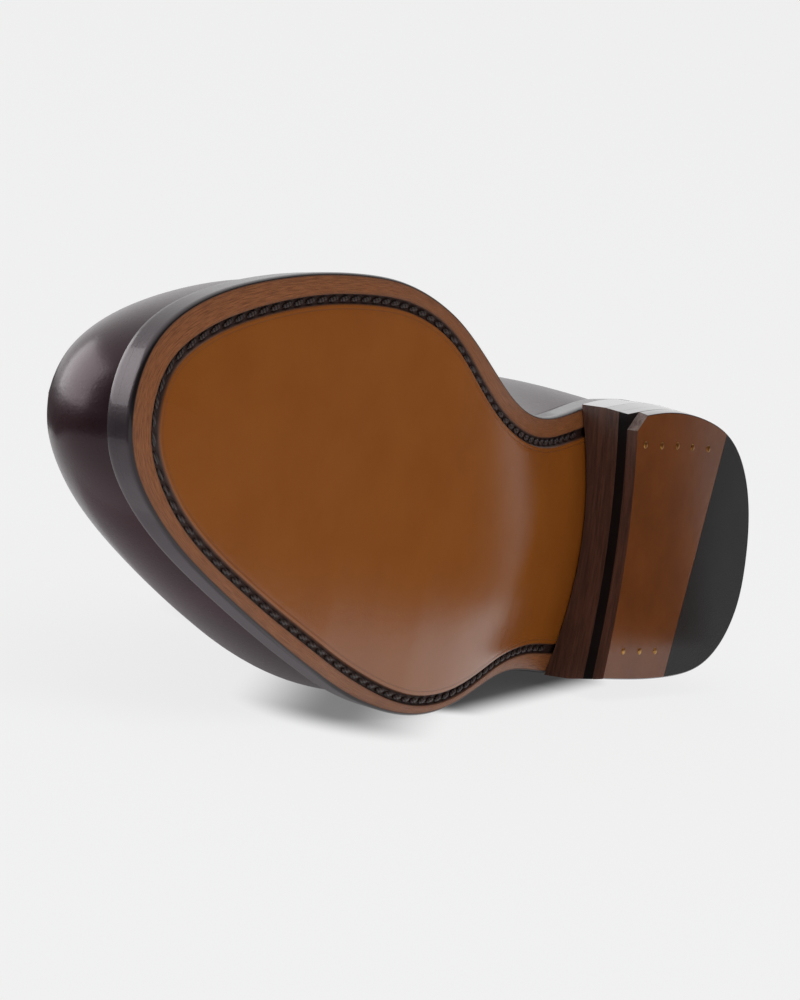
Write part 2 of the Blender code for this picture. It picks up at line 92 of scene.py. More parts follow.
# fraction, ridge of the last, wall roundness, swell outer and inner
lastTable = [
    (0.0, 0.002, 0.04, 0.118, 0.9, 0.11, 0.11), (0.14, 0.002, 0.056, 0.119, 1.02, 0.05, 0.08),
    (0.28, 0.0026, 0.088, 0.116, 1.02, 0.07, 0.29), (0.4, 0.0024, 0.12, 0.101, 0.96, 0.08, 0.39),
    (0.5, 0.001, 0.149, 0.083, 0.86, 0.09, 0.34), (0.6, -0.0016, 0.182, 0.0685, 0.82, 0.08, 0.17),
    (0.7, -0.0034, 0.209, 0.0602, 0.8, 0.09, 0.09),
    (0.8, -0.0046, 0.233, 0.0547, 0.77, 0.11, 0.07),
    (0.9, -0.0058, 0.253, 0.0512, 0.74, 0.11, 0.06),
    (1.0, -0.0068, 0.266, 0.049, 0.73, 0.08, 0.08)]
# fraction, top line as a share of the wall, outer and inner
collarTable = [
    (0.0, 0.4, 0.4), (0.08, 0.388, 0.39), (0.16, 0.335, 0.345), (0.24, 0.29, 0.305),
    (0.32, 0.285, 0.305), (0.4, 0.35, 0.365), (0.45, 0.45, 0.46), (0.49, 0.64, 0.645),
    (0.52, 1.0, 1.0)]
throat = 0.52


def smoothThrough(knots, values, closed=False):
    # cubic curve through the values at the knots
    knots, values = np.asarray(knots, float), np.asarray(values, float)
    step = np.diff(knots)
    slope = np.diff(values, axis=0) / step[:, None]
    count = len(step) if closed else len(knots)
    system = np.zeros((count, count)) if closed else np.eye(count)
    right = np.zeros((count, values.shape[1]))
    for i in range(count) if closed else range(1, count - 1):
        system[i, i] = 2 * (step[i - 1] + step[i])
        system[i, i - 1] = step[i - 1]
        system[i, (i + 1) % count] = step[i]
        right[i] = 6 * (slope[i] - slope[i - 1])
    bend = np.linalg.solve(system, right)
    bend = np.vstack([bend, bend[:1]])

    def at(x):
        x = np.clip(np.asarray(x, float), knots[0], knots[-1])
        k = np.clip(np.searchsorted(knots, x, side="right") - 1, 0, len(step) - 1)
        h = step[k][..., None]
        b = (x - knots[k])[..., None] / h
        a = 1 - b
        curve = (a ** 3 - a) * bend[k] + (b ** 3 - b) * bend[k + 1]
        return a * values[k] + b * values[k + 1] + curve * h * h / 6
    return at


def smoothColumn(rows, column):
    curve = smoothThrough([row[0] for row in rows], [[row[column]] for row in rows])
    return lambda x: curve(x)[..., 0]


def bothSides(rows, outer):
    # the inner side's column follows the outer side's
    return {1: smoothColumn(rows, outer), -1: smoothColumn(rows, outer + 1)}


def chordKnots(points):
    return np.concatenate([[0], np.cumsum(np.sqrt(np.hypot(*np.diff(points, axis=0).T)))])


def measured(line):
    # places by their length along a dense line, and its whole length
    length = np.concatenate([[0], np.cumsum(np.linalg.norm(np.diff(line, axis=0), axis=1))])

    def at(place):
        return np.stack([np.interp(place, length, column) for column in line.T], axis=-1)
    return at, length[-1]


def sideOf(curve, start, end):
    at, whole = measured(curve(np.linspace(start, end, 3000)))
    return lambda fraction: at(np.asarray(fraction, float) * whole)


ring = np.array(solePlan["outer"] + solePlan["inner"] + solePlan["outer"][:1])
outlineKnots = chordKnots(ring)
outline = smoothThrough(outlineKnots, ring, closed=True)
toeKnot = outlineKnots[len(solePlan["outer"])]
soleSide = {1: sideOf(outline, 0, toeKnot), -1: sideOf(outline, outlineKnots[-1], toeKnot)}
soleRise = smoothColumn(solePlan["rise"], 1)
waistHang = smoothColumn(solePlan["rise"], 2)
showAt = bothSides(solePlan["show"], 1)
ridgeAt = smoothThrough([row[0] for row in lastTable], [row[1:4] for row in lastTable])
roundness = smoothColumn(lastTable, 4)
swell, collarAt = bothSides(lastTable, 5), bothSides(collarTable, 1)
featherLift = solePlan["thick"] + solePlan["weltThick"] + 2 * gap


def soleEdge(y):
    return np.maximum(soleRise(y), 0)


def soleHang(y):
    return np.where(np.asarray(y) < solePlan["hangTo"], np.maximum(waistHang(y), 0), 0)


def spaced(stops, counts):
    # stretches of even steps between the stops
    parts = [np.linspace(a, b, n)[:-1] for a, b, n in zip(stops, stops[1:], counts)]
    return np.concatenate(parts + [stops[-1:]])


def unit(rows):
    return rows / np.linalg.norm(rows, axis=-1)[..., None]


def insetSide(side, fraction, depth):
    fraction = np.asarray(fraction, float)
    run = unit(soleSide[side](fraction + 0.002) - soleSide[side](fraction - 0.002))
    inward = np.stack([-run[..., 1], run[..., 0]], axis=-1) * side
    atEnd = (fraction < 1e-6) | (fraction > 1 - 1e-6)
    straight = np.where((fraction < 0.5)[..., None], [0.0, 1.0], [0.0, -1.0])
    inward = np.where(atEnd[..., None], straight, inward)
    return soleSide[side](fraction) + inward * np.asarray(depth)[..., None]


def lastPoint(side, fraction, rise):
    fraction, rise = np.broadcast_arrays(np.asarray(fraction, float), np.asarray(rise, float))
    foot = insetSide(side, fraction, showAt[side](fraction))
    top = ridgeAt(fraction)
    ahead, behind = ridgeAt(fraction + 0.01), ridgeAt(fraction - 0.01)
    fall = (ahead[..., 2] - behind[..., 2]) / (ahead[..., 1] - behind[..., 1])
    base = soleEdge(foot[..., 1]) + featherLift
    turn = np.clip(rise, 0, 1) * math.pi / 2
    cosine = np.maximum(np.cos(turn), 0)
    out = cosine ** roundness(fraction)
    out = out + swell[side](fraction) * np.sin(2 * turn) * (1.6 - rise) * cosine
    out = np.where(rise > 1 - 1e-9, 0, out)
    plan = top[..., :2] + (foot - top[..., :2]) * out[..., None]
    lean = fall * (foot - top[..., :2])[..., 1] * out * (1 - out)
    height = base + (top[..., 2] - base) * np.sin(turn) + np.where(fraction > 0.6, lean, 0)
    return np.concatenate([plan, height[..., None]], axis=-1)


def lastOut(side, fraction, rise):
    fraction, rise = np.broadcast_arrays(np.asarray(fraction, float), np.asarray(rise, float))
    low = np.clip(rise, 0.004, 0.985)
    d = 0.004
    along = lastPoint(side, np.minimum(fraction + d, 0.999), low)
    along = along - lastPoint(side, np.maximum(fraction - d, 0.001), low)
    upward = lastPoint(side, fraction, low + d) - lastPoint(side, fraction, low - d)
    return unit(np.cross(along, upward) * side)


def offLast(side, fraction, rise, lift):
    return lastPoint(side, fraction, rise) + lastOut(side, fraction, rise) * lift


# shader wiring: a wire is a node's output, and maths on wires adds Math nodes
class Wire:
    def __init__(self, tree, socket=None):
        self.tree = tree
        self.socket = socket

    def node(self, kind, settings=None, sockets=None, out=0):
        item = self.tree.nodes.new(kind)
        for key, value in (settings or {}).items():
            setattr(item, key, value)
        for key, value in (sockets or {}).items():
            if isinstance(value, Wire):
                self.tree.links.new(value.socket, item.inputs[key])
            else:
                item.inputs[key].default_value = value
        return Wire(self.tree, item.outputs[out] if item.outputs else None)

    def maths(self, operation, *others):
        return self.node("ShaderNodeMath", {"operation": operation}, dict(enumerate(others)))

    def __add__(self, other):
        return self.maths("ADD", self, other)

    __radd__ = __add__

    def __mul__(self, other):
        return self.maths("MULTIPLY", self, other)

    __rmul__ = __mul__

    def __sub__(self, other):
        return self.maths("SUBTRACT", self, other)

    def __rsub__(self, other):
        return self.maths("SUBTRACT", other, self)

    def __pow__(self, other):
        return self.maths("POWER", self, other)


def tone(red, green, blue):
    def light(c):
        c = c / 255
        return c / 12.92 if c <= 0.04045 else ((c + 0.055) / 1.055) ** 2.4
    return (light(red), light(green), light(blue), 1.0)


def newFinish(name, fixed):
    skin = bpy.data.materials.new(name)
    skin.use_nodes = True
    shader = skin.node_tree.nodes["Principled BSDF"]
    for socket, value in fixed.items():
        shader.inputs[socket].default_value = value
    return skin, Wire(skin.node_tree), shader


def shoeCoords(wire):
    # object coordinates turned back to the standing shoe
    back = lying.inverted()
    coords = wire.node("ShaderNodeTexCoord", out="Object")
    sockets = {"Vector": coords, "Location": back.to_translation(), "Rotation": back.to_euler()}
    return wire.node("ShaderNodeMapping", {"vector_type": "POINT"}, sockets)


def noise(coords, scale, detail=3.0, stretch=None, rough=0.5):
    if stretch:
        sockets = {"Vector": coords, "Scale": stretch}
        coords = coords.node("ShaderNodeMapping", {"vector_type": "POINT"}, sockets)
    sockets = {"Vector": coords, "Scale": scale, "Detail": detail, "Roughness": rough}
    return coords.node("ShaderNodeTexNoise", {}, sockets)


def mark(wire, name):
    return wire.node("ShaderNodeAttribute", {"attribute_name": name}, out="Fac")


def mix(factor, one, two):
    return factor.node("ShaderNodeMix", {"data_type": "RGBA"}, {0: factor, 6: one, 7: two}, out=2)


def ramp(signal, low, high, toLow=0.0, toHigh=1.0):
    return signal.node("ShaderNodeMapRange", {"clamp": True, "interpolation_type": "SMOOTHSTEP"},
                       {"Value": signal, "From Min": low, "From Max": high,
                        "To Min": toLow, "To Max": toHigh})


def wireUp(wire, shader, colour, rough, height, deep):
    bump = wire.node("ShaderNodeBump", {}, {"Height": height, "Strength": 1.0, "Distance": deep})
    for socket, signal in (("Base Color", colour), ("Roughness", rough), ("Normal", bump)):
        wire.tree.links.new(signal.socket, shader.inputs[socket])


palette = {
    # shadedTreadTan and shadedTreadDeep are the sole's tan made darker: painted shade for the heel
    # tread
    "soleTan": (148, 83, 23), "soleDeep": (142, 77, 19), "shadedTreadTan": (116, 61, 19),
    "shadedTreadDeep": (97, 49, 14), "soleRim": (156, 97, 57), "soleRimDeep": (116, 66, 36),
    "soleShade": (56, 36, 30), "edge": (50, 42, 47), "edgeDeep": (40, 33, 38),
    "edgeLine": (20, 17, 19), "upper": (50, 22, 30), "upperDeep": (34, 16, 21),
    "stack": (92, 56, 41), "stackDeep": (58, 33, 24), "rubber": (20, 19, 21),
    "rubberDeep": (13, 12, 14), "lining": (178, 132, 88), "liningDeep": (150, 106, 68),
    "thread": (70, 57, 55), "threadDeep": (34, 26, 26), "lace": (44, 28, 28),
    "brass": (214, 170, 98), "brassDeep": (150, 110, 58), "floor": (96, 96, 97),
    "cut": (150, 132, 126), "cutDeep": (104, 84, 76),
}
finishes = {name: tone(*value) for name, value in palette.items()}


def makeTan(name, light, dark, shine):
    skin, wire, shader = newFinish(name, {"Specular IOR Level": shine})
    coords = shoeCoords(wire)
    cloud = noise(coords, 48, 4, rough=0.6)
    fleck = noise(coords, 420, 4, rough=0.6)
    grain = noise(coords, 2600, 3)
    lengthways = wire.node("ShaderNodeUVMap", {"uv_map": "UVMap"})
    fibre = noise(lengthways, 1.0, 5, stretch=(64, 520, 1), rough=0.62)
    rim, shadeAndInk = mark(wire, "rim"), mark(wire, "shadeAndInk")
    colour = mix(ramp(cloud, 0.25, 0.75), finishes[dark], finishes[light])
    colour = mix(ramp(fleck, 0.56, 0.74) * 0.35, colour, finishes[dark])
    rimColour = mix(ramp(fibre, 0.36, 0.68), finishes["soleRim"], finishes["soleRimDeep"])
    colour = mix(rim, colour, rimColour)
    # the shadeAndInk mark paints shade into the stitch channel and a crease beside it, over a darker
    # burnish; at the sole's corner it is the edge ink
    colour = mix(shadeAndInk, colour, finishes["soleShade"])
    rough = 0.19 + 0.06 * fleck + 0.24 * rim * fibre + 0.3 * shadeAndInk
    wireUp(wire, shader, colour, rough, grain * 0.25 + fleck * 0.3 + rim * fibre * 1.1, 0.00012)
    return skin


def makeEdge(name, gloss, dull):
    fixed = {"Specular IOR Level": 0.5 - 0.5 * dull, "Specular Tint": (1.0, 0.82, 0.9, 1.0)}
    skin, wire, shader = newFinish(name, {**fixed, "Coat Weight": gloss, "Coat Roughness": 0.08})
    coords = shoeCoords(wire)
    cloud = noise(coords, 160, 4, rough=0.6)
    fine = noise(coords, 1500, 4, rough=0.6)
    colour = mix(ramp(cloud, 0.3, 0.7), finishes["edgeDeep"], finishes["edge"])
    # here the shadeAndInk mark is the dark edge ink at the sole's corner
    colour = mix(mark(wire, "shadeAndInk"), colour, finishes["edgeLine"])
    wireUp(wire, shader, colour, dull + 0.1 * cloud, cloud * 0.3 + fine * 0.6, 0.0002 * dull)
    return skin


def makeUpper():
    fixed = {"Specular IOR Level": 0.32, "Specular Tint": (1.0, 0.8, 0.88, 1.0),
             "Coat Weight": 0.11, "Coat Roughness": 0.16}
    skin, wire, shader = newFinish("upper_leather", fixed)
    coords = shoeCoords(wire)
    cloud = noise(coords, 30, 3)
    pore = coords.node("ShaderNodeTexVoronoi", {"feature": "F1"}, {"Vector": coords, "Scale": 1500})
    skinGrain = noise(coords, 900, 4, rough=0.6)
    colour = mix(ramp(cloud, 0.3, 0.72), finishes["upperDeep"], finishes["upper"])
    colour = mix(ramp(skinGrain, 0.55, 0.8) * 0.4, colour, finishes["upperDeep"])
    wireUp(wire, shader, colour, 0.24 + 0.1 * skinGrain, pore * 0.12 + skinGrain * 0.22, 0.0001)
    return skin


def makeGrained(name, fixed, tones, tint, span, rough, deep, grain=None, fleck=None):
    # tint and flecks are noise through a ramp; rough is a value and its change over the grain
    skin, wire, shader = newFinish(name, fixed)
    coords = shoeCoords(wire)
    colour = mix(ramp(noise(coords, *tint), *span), *(finishes[key] for key in tones))
    if fleck:
        spots = ramp(noise(coords, *fleck[0]), *fleck[1]) * fleck[2]
        colour = mix(spots, colour, finishes[tones[0]])
    rub = noise(coords, *(grain or tint))
    wireUp(wire, shader, colour, rough[0] + rough[1] * rub, rub, deep)
    return skin


def makeThread():
    skin, wire, shader = newFinish("waxed_thread", {"Specular IOR Level": 0.5})
    coords = shoeCoords(wire)
    twist = coords.node("ShaderNodeTexWave", {"wave_type": "BANDS", "bands_direction": "DIAGONAL"},
                        {"Vector": coords, "Scale": 420.0, "Distortion": 1.5})
    fuzz = noise(coords, 1500, 3)
    colour = mix(ramp(twist, 0.2, 0.8), finishes["threadDeep"], finishes["thread"])
    wireUp(wire, shader, colour, 0.4 + 0.2 * fuzz, twist * 0.8 + fuzz * 0.3, 0.00015)
    return skin


grained = {
    "stack_leather": {
        "fixed": {"Specular IOR Level": 0.4}, "tones": ("stackDeep", "stack"),
        "tint": (150, 6, (0.5, 0.5, 9.0), 0.75), "span": (0.3, 0.68),
        "rough": (0.42, 0.2), "deep": 0.00018,
        "fleck": ((90, 3), (0.5, 0.8), 0.35)},
    "heel_rubber": {
        "fixed": {"Specular IOR Level": 0.2}, "tones": ("rubberDeep", "rubber"),
        "tint": (60, 3), "span": (0.35, 0.7), "grain": (2200, 3),
        "rough": (0.28, 0.14), "deep": 0.00006},
    "lining_leather": {
        "fixed": {"Specular IOR Level": 0.35}, "tones": ("liningDeep", "lining"),
        "tint": (45, 3), "span": (0.3, 0.7), "grain": (1300, 4, None, 0.6),
        "rough": (0.52, 0.18), "deep": 0.00012, "fleck": ((1300, 4, None, 0.6), (0.5, 0.75), 0.3)},
    "lace_leather": {
        "fixed": {"Coat Weight": 0.15, "Coat Roughness": 0.2}, "tones": ("upperDeep", "lace"),
        "tint": (150, 3), "span": (0.3, 0.7), "grain": (1100, 4, None, 0.6),
        "rough": (0.34, 0.16), "deep": 0.00012},
    "brass_nail": {
        "fixed": {"Metallic": 1.0}, "tones": ("brassDeep", "brass"),
        "tint": (900, 3), "span": (0.35, 0.7), "rough": (0.3, 0.2), "deep": 0.00004},
    "raw_cut": {
        "fixed": {"Specular IOR Level": 0.3}, "tones": ("cutDeep", "cut"),
        "tint": (700, 5, (1.0, 1.0, 2.2), 0.7), "span": (0.3, 0.7),
        "rough": (0.6, 0.2), "deep": 0.0003},
}
soleTan, upperLeather = makeTan("sole_leather", "soleTan", "soleDeep", 0.5), makeUpper()
edgeDressing = makeEdge("edge_dressing", 0.32, 0.27)
heelDressing = makeEdge("heel_dressing", 1.0, 0.07)
# the heel tread's finish is the sole's tan in darker tones: painted shade
shadedTreadTan, waxedThread = makeTan("shaded_tread_leather", "shadedTreadTan", "shadedTreadDeep", 0.34), makeThread()
made = [makeGrained(name, **settings) for name, settings in grained.items()]
stackLeather, heelRubber, liningLeather, laceLeather, brassNail, rawCut = made
print("finishes made")


def rowGrid(spots, marks=None, paint=None, bm=None):
    # a grid whose points are put where the rows of spots say
    if bm is None:
        bm = bmesh.new()
        bm.loops.layers.uv.new("UVMap")
    alongCount, acrossCount = spots.shape[0] - 1, spots.shape[1] - 1
    old = len(bm.verts)
    oldFaces = len(bm.faces)
    bmesh.ops.create_grid(bm, x_segments=alongCount, y_segments=acrossCount, size=0.5, calc_uvs=True)
    bm.faces.ensure_lookup_table()
    if paint is not None:
        for face in bm.faces[oldFaces:]:
            spot = face.calc_center_median()
            i, k = int((spot.x + 0.5) * alongCount), int((spot.y + 0.5) * acrossCount)
            face.material_index = paint(i, k)
    layers = {name: bm.verts.layers.float.new(name) for name in marks or {}}
    bm.verts.ensure_lookup_table()
    for vert in bm.verts[old:]:
        i, k = round((vert.co.x + 0.5) * alongCount), round((vert.co.y + 0.5) * acrossCount)
        vert.co = spots[i, k]
        for name, layer in layers.items():
            vert[layer] = marks[name][i, k]
    return bm


def addObject(name, data):
    item = bpy.data.objects.new(name, data)
    scene.collection.objects.link(item)
    return item


def addMesh(name, bm, skins):
    mesh = bpy.data.meshes.new(name)
    bm.to_mesh(mesh)
    bm.free()
    for skin in skins:
        mesh.materials.append(skin)
    return addObject(name, mesh)


def joinFrame(piece, slot, nodes):
    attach(piece, "root")
    if nodes:
        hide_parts(*nodes)


def addPiece(name, bm, skins, slot, nodes=(), merge=0.000004, sharp=38):
    if merge:
        bmesh.ops.remove_doubles(bm, verts=bm.verts, dist=merge)
        bmesh.ops.dissolve_degenerate(bm, edges=bm.edges, dist=0.000002)
    bmesh.ops.recalc_face_normals(bm, faces=bm.faces)
    bmesh.ops.transform(bm, matrix=lying, verts=bm.verts)
    piece = addMesh(name, bm, skins)
    piece.data.shade_smooth()
    piece.data.set_sharp_from_angle(angle=math.radians(sharp))
    joinFrame(piece, slot, nodes)
    print(name, len(piece.data.polygons), "faces")
    return piece


def addStitches(bm, places, runs, outs, size, yaw=0.0):
    # rounded stitches lying along a line of places
    for place, run, out in zip(places, runs, outs):
        x = Vector(run).normalized()
        z = Vector(out)
        z = (z - x * z.dot(x)).normalized()
        turn = Matrix((x, z.cross(x), z)).transposed().to_4x4()
        turn = Matrix.Translation(Vector(place)) @ turn @ Matrix.Rotation(yaw, 4, "Z")
        turn = turn @ Matrix.Diagonal((*size, 1))
        bmesh.ops.create_uvsphere(bm, u_segments=8, v_segments=6, radius=0.5, matrix=turn)


def evenly(line, pitch):
    # places a pitch apart along a dense line, with the line's direction there
    at, whole = measured(line)
    places = np.arange(pitch / 2, whole, pitch)
    return at(places), at(places + 0.0005) - at(places - 0.0005)


# outsole with its stitch channel
outsole = {
    "stations": 261, "channelWide": 0.0024, "channelDeep": 0.001, "corner": 0.0009, "crown": 0.0016,
    "crownFrom": 0.11, "crownLong": 0.06, "lean": 0.12,
    # fraction, channel in from the edge, outer and inner
    "channel": [
        (0.0, 0.0063, 0.0063), (0.25, 0.0063, 0.0063), (0.3, 0.0058, 0.0062),
        (0.335, 0.0049, 0.0063), (0.37, 0.0042, 0.0064), (0.405, 0.0035, 0.0065),
        (0.44, 0.0032, 0.0067), (0.475, 0.0032, 0.007), (0.51, 0.0035, 0.0067),
        (0.545, 0.0039, 0.0058), (0.58, 0.0045, 0.0051), (0.615, 0.0051, 0.005),
        (0.65, 0.0054, 0.0053), (0.685, 0.0055, 0.0057), (0.72, 0.0055, 0.006),
        (0.755, 0.0053, 0.0063), (0.79, 0.0052, 0.0067), (0.825, 0.0051, 0.0072),
        (0.86, 0.0053, 0.0077), (0.895, 0.0058, 0.0081), (0.93, 0.0068, 0.0083),
        (0.965, 0.0076, 0.0081), (1.0, 0.0078, 0.0078)],
    # fraction, y of the middle line; fraction, where past the channel the flat part starts
    "spine": [(0, 0.022), (0.1, 0.034), (0.9, 0.268), (1, 0.281)],
    "flat": [(0.78, 0.009), (0.95, 0.005)],
    # edge rounding: lift in corners, depth, dressed share
    "turn": [
        (1.0, 0.0, 0.0), (0.46, 0.00012, 1), (0.16, 0.0003, 1), (0.03, 0.0005, 0.9),
        (0.0, 0.0008, 0.12)],
    # across the channel: place in half widths, lift in depths, rim mark, shadeAndInk mark (painted
    # shade in the channel and the crease beside it)
    "across": [
        (-1.55, 0.0, 1, 0), (-1.12, 0.08, 1, 0.25), (-0.92, 0.55, 1, 1), (-0.66, 1.0, 1, 1),
        (0.0, 1.0, 0.5, 1), (0.66, 1.0, 0, 1), (0.92, 0.55, 0, 1), (1.12, 0.08, 0, 0.35),
        (1.4, 0.0, 0, 0.05), (1.75, 0.0, 0, 0.03), (1.92, 0.02, 0, 0.36), (2.1, 0.0, 0, 0.02),
        (3.2, 0.0, 0, 0)],
}
channelAt = bothSides(outsole["channel"], 1)
share = np.linspace(0, 1, outsole["stations"])
along = 0.62 * share + 0.38 * (0.5 - 0.5 * np.cos(math.pi * share))
spineY = np.interp(along, *zip(*outsole["spine"]))
middle = 0.5 * (soleSide[1](along) + soleSide[-1](along))
spine = np.stack([np.interp(spineY, middle[:, 1], middle[:, 0]), spineY], axis=-1)


def soleUnder(spot, q):
    # under face: the waist hangs, the forepart is a little crowned
    y = spot[..., 1]
    crown = outsole["crown"] * np.clip((y - outsole["crownFrom"]) / outsole["crownLong"], 0, 1)
    return soleEdge(y) - (soleHang(y) + crown) * (1 - q * q)


def soleRow(side, lift, depth=None, toSpine=None, top=False):
    rim = soleSide[side](along)
    width = np.linalg.norm(rim - spine, axis=1)
    deepest = channelAt[side](along) + np.interp(along, *zip(*outsole["flat"]))
    if toSpine is None:
        spot = insetSide(side, along, depth + 0 * along)
        q = 1 - depth / width
    else:
        start = insetSide(side, along, deepest)
        spot = start + (spine - start) * toSpine
        q = (1 - deepest / width) * (1 - toSpine)
    low = soleEdge(spot[:, 1]) + lift if top else soleUnder(spot, np.clip(q, 0, 1)) + lift
    return np.column_stack([spot, low])


def soleHalf(side):
    # rows of one half of the under face from the edge to the spine: points, rim mark, shadeAndInk mark
    c = channelAt[side](along)
    wide, deep, corner = outsole["channelWide"] / 2, outsole["channelDeep"], outsole["corner"]
    rows = [(soleRow(side, lift * corner, depth), 1, dressed)
            for lift, depth, dressed in outsole["turn"]]
    halfway = 0.5 * (outsole["turn"][-1][1] + c + outsole["across"][0][0] * wide)
    rows.append((soleRow(side, 0.0, halfway), 1, 0))
    for place, lift, rim, shadeAndInk in outsole["across"]:
        rows.append((soleRow(side, lift * deep, c + place * wide), rim, shadeAndInk))
    for toSpine in (0.0, 0.12, 0.3, 0.5, 0.75, 1.0):
        rows.append((soleRow(side, 0.0, toSpine=toSpine), 0, 0))
    return rows


outerHalf, innerHalf = soleHalf(1), soleHalf(-1)
thick, corner = solePlan["thick"], outsole["corner"]


def soleWall(side):
    edge = [(0.0, 0.35 * thick), (0.0, 0.65 * thick), (0.0, thick), (0.00016, thick)]
    edge = [(depth + outsole["lean"] * (lift - corner), lift) for depth, lift in edge]
    return [(soleRow(side, lift, depth, top=True), 1, 0) for depth, lift in edge]


topRows = [(soleRow(s, thick, toSpine=t, top=True), 0, 0)
           for s, t in ((-1, 0.0), (-1, 1.0), (1, 0.0))]
ring = outerHalf + innerHalf[-2::-1] + soleWall(-1) + topRows + soleWall(1)[::-1] + outerHalf[:1]
spots = np.stack([row[0] for row in ring], axis=1)
marks = {name: np.array([[row[k] for row in ring]] * len(along), float)
         for name, k in (("rim", 1), ("shadeAndInk", 2))}
half = len(outerHalf)


def soleSkin(i, k):
    return 0 if 3 <= k < 2 * half - 5 else 1


soleMesh = rowGrid(spots, marks, soleSkin)
addPiece("outsole_leather", soleMesh, [soleTan, edgeDressing], "sole_leather", ["outsole"])

# thread in the channel and on the welt
threadRow = {"pitch": 0.0046, "size": (0.004, 0.0013, 0.001), "yaw": 0.2, "sink": 0.00062,
             "weltIn": 0.0026, "weltSize": (0.0034, 0.0009, 0.0007),
             # fractions where the rows start, outer and inner
             "channelFrom": (0.262, 0.287), "weltFrom": (0.44, 0.52)}


def addThread(name, depthOf, level, starts, up, size, yaw=0.0):
    # from the inner side round the toe to the outer side
    parts = []
    for side, start in ((-1, starts[1]), (1, starts[0])):
        f = np.linspace(start, 1, 900)
        plan = insetSide(side, f, depthOf[side](f))
        rows = np.column_stack([plan, level(side, f, plan)])
        parts.append(rows if side == -1 else rows[-2::-1])
    places, runs = evenly(np.vstack(parts), threadRow["pitch"])
    bm = bmesh.new()
    addStitches(bm, places, runs, [(0, 0, up)] * len(places), size, yaw)
    addPiece(name, bm, [waxedThread], "welt_leather", merge=0)


def channelLevel(side, f, plan):
    rim = soleSide[side](f)
    mid = np.stack([np.interp(f, along, spine[:, c]) for c in (0, 1)], axis=-1)
    q = 1 - channelAt[side](f) / np.linalg.norm(rim - mid, axis=1)
    return soleUnder(plan, q) + threadRow["sink"]


def weltLevel(side, f, plan):
    return soleEdge(plan[:, 1]) + thick + solePlan["weltThick"] + gap + 0.0001


weltInset = {s: (lambda f: threadRow["weltIn"] + 0 * f) for s in (1, -1)}
addThread("channel_thread", channelAt, channelLevel, threadRow["channelFrom"], -1,
          threadRow["size"], threadRow["yaw"])
addThread("welt_thread", weltInset, weltLevel, threadRow["weltFrom"], 1, threadRow["weltSize"])

# welt: a closed band whose edge meets the sole edge
welt = {"in": 0.00002, "under": 0.0085, "round": 0.0006, "drop": 0.00026}


def weltLoop(depthOuter, depthInner, lift):
    outerSide = insetSide(1, along, depthOuter + 0 * along)
    innerSide = insetSide(-1, along, depthInner + 0 * along)
    plan = np.vstack([outerSide, innerSide[-2::-1]])
    return np.column_stack([plan, soleEdge(plan[:, 1]) + thick + gap + lift])


high = solePlan["weltThick"]
feather = {s: showAt[s](along) for s in (1, -1)}
drop = -welt["drop"]


def weltEdge(extra, lift):
    # goes on with the lean of the sole edge
    depth = welt["in"] + outsole["lean"] * (thick + gap + lift - corner) + extra
    return weltLoop(depth, depth, lift)


ring = [weltEdge(extra, lift) for extra, lift in (
    (0.00016, drop), (0.0, drop), (0.0, 0.45 * high), (0.0, high - 0.0006), (0.00018, high - 0.00018),
    (welt["round"], high))]
ring += [weltLoop(feather[1] + welt["under"], feather[-1] + welt["under"], lift)
         for lift in (high, drop)]
ring.append(ring[0])
addPiece("welt_band", rowGrid(np.stack(ring, axis=1)), [edgeDressing], "welt_leather", ["welt"])

# insole with its sock
insole = {"thick": 0.003, "under": 0.0034}


def insoleRow(side, depth, lift, toSpine=0.0):
    start = insetSide(side, along, feather[side] + insole["under"] + depth)
    spot = start + (spine - start) * toSpine
    return np.column_stack([spot, soleEdge(spot[:, 1]) + featherLift + lift])


up = insole["thick"]
upperRows = [(0.0, up - 0.0008), (0.0008, up), (0.004, up), (0.004, up, 0.4), (0.004, up, 1.0)]
ring = [insoleRow(1, *row) for row in upperRows] + [insoleRow(-1, *row) for row in upperRows[-2::-1]]
ring += [insoleRow(-1, 0.0, 0.0), insoleRow(-1, 0.0, 0.0, 1.0), insoleRow(1, 0.0, 0.0), ring[0]]
addPiece("insole_sock", rowGrid(np.stack(ring, axis=1)), [liningLeather], "lining_leather", ["insole"])
print("sole made")

# heel lifts
heel = {
    "outer": [
        (0.0019, 0.0021), (0.012, 0.003), (0.022, 0.0085), (0.0295, 0.019), (0.0335, 0.035),
        (0.0355, 0.052), (0.0368, 0.0702)],
    "inner": [
        (0.0019, 0.0021), (-0.009, 0.0038), (-0.02, 0.0092), (-0.029, 0.0205), (-0.0328, 0.038),
        (-0.0326, 0.056), (-0.0296, 0.0735)],
    "topHigh": 0.003, "blackHigh": 0.0056, "lowerHigh": 0.0097, "bow": 0.0034, "round": 0.0003,
    "seam": 0.00005, "cut": 0.00005, "step": 0.00003, "flare": (0.0, 0.0004, 0.0007, 0.0012, 0.0012),
    "bowFrom": 0.034, "bowLong": 0.038, "bowMiddle": 0.0036, "bowHalf": 0.0332,
    "spine": [(0, 0.026), (0.45, 0.034), (1, 0.0718)],
    "rubberLine": ((-0.0292, 0.0241), (0.0335, 0.0376)),
    "notchLine": ((-0.0245, 0.0742), (-0.0296, 0.0694)),
}
treadPoints = np.array(heel["inner"][:0:-1] + heel["outer"])
treadKnots = chordKnots(treadPoints)
treadCurve = smoothThrough(treadKnots, treadPoints)
treadBack = treadKnots[len(heel["inner"]) - 1]
treadSide = {1: sideOf(treadCurve, treadBack, treadKnots[-1]), -1: sideOf(treadCurve, treadBack, 0)}
heelShare = np.linspace(0, 1, 81)
heelAlong = 0.5 * heelShare + 0.5 * np.sin(heelShare * math.pi / 2)
heelSpineY = np.interp(heelAlong, *zip(*heel["spine"]))
heelSpine = np.stack([0.0016 + 0.03 * heelSpineY, heelSpineY], axis=-1)


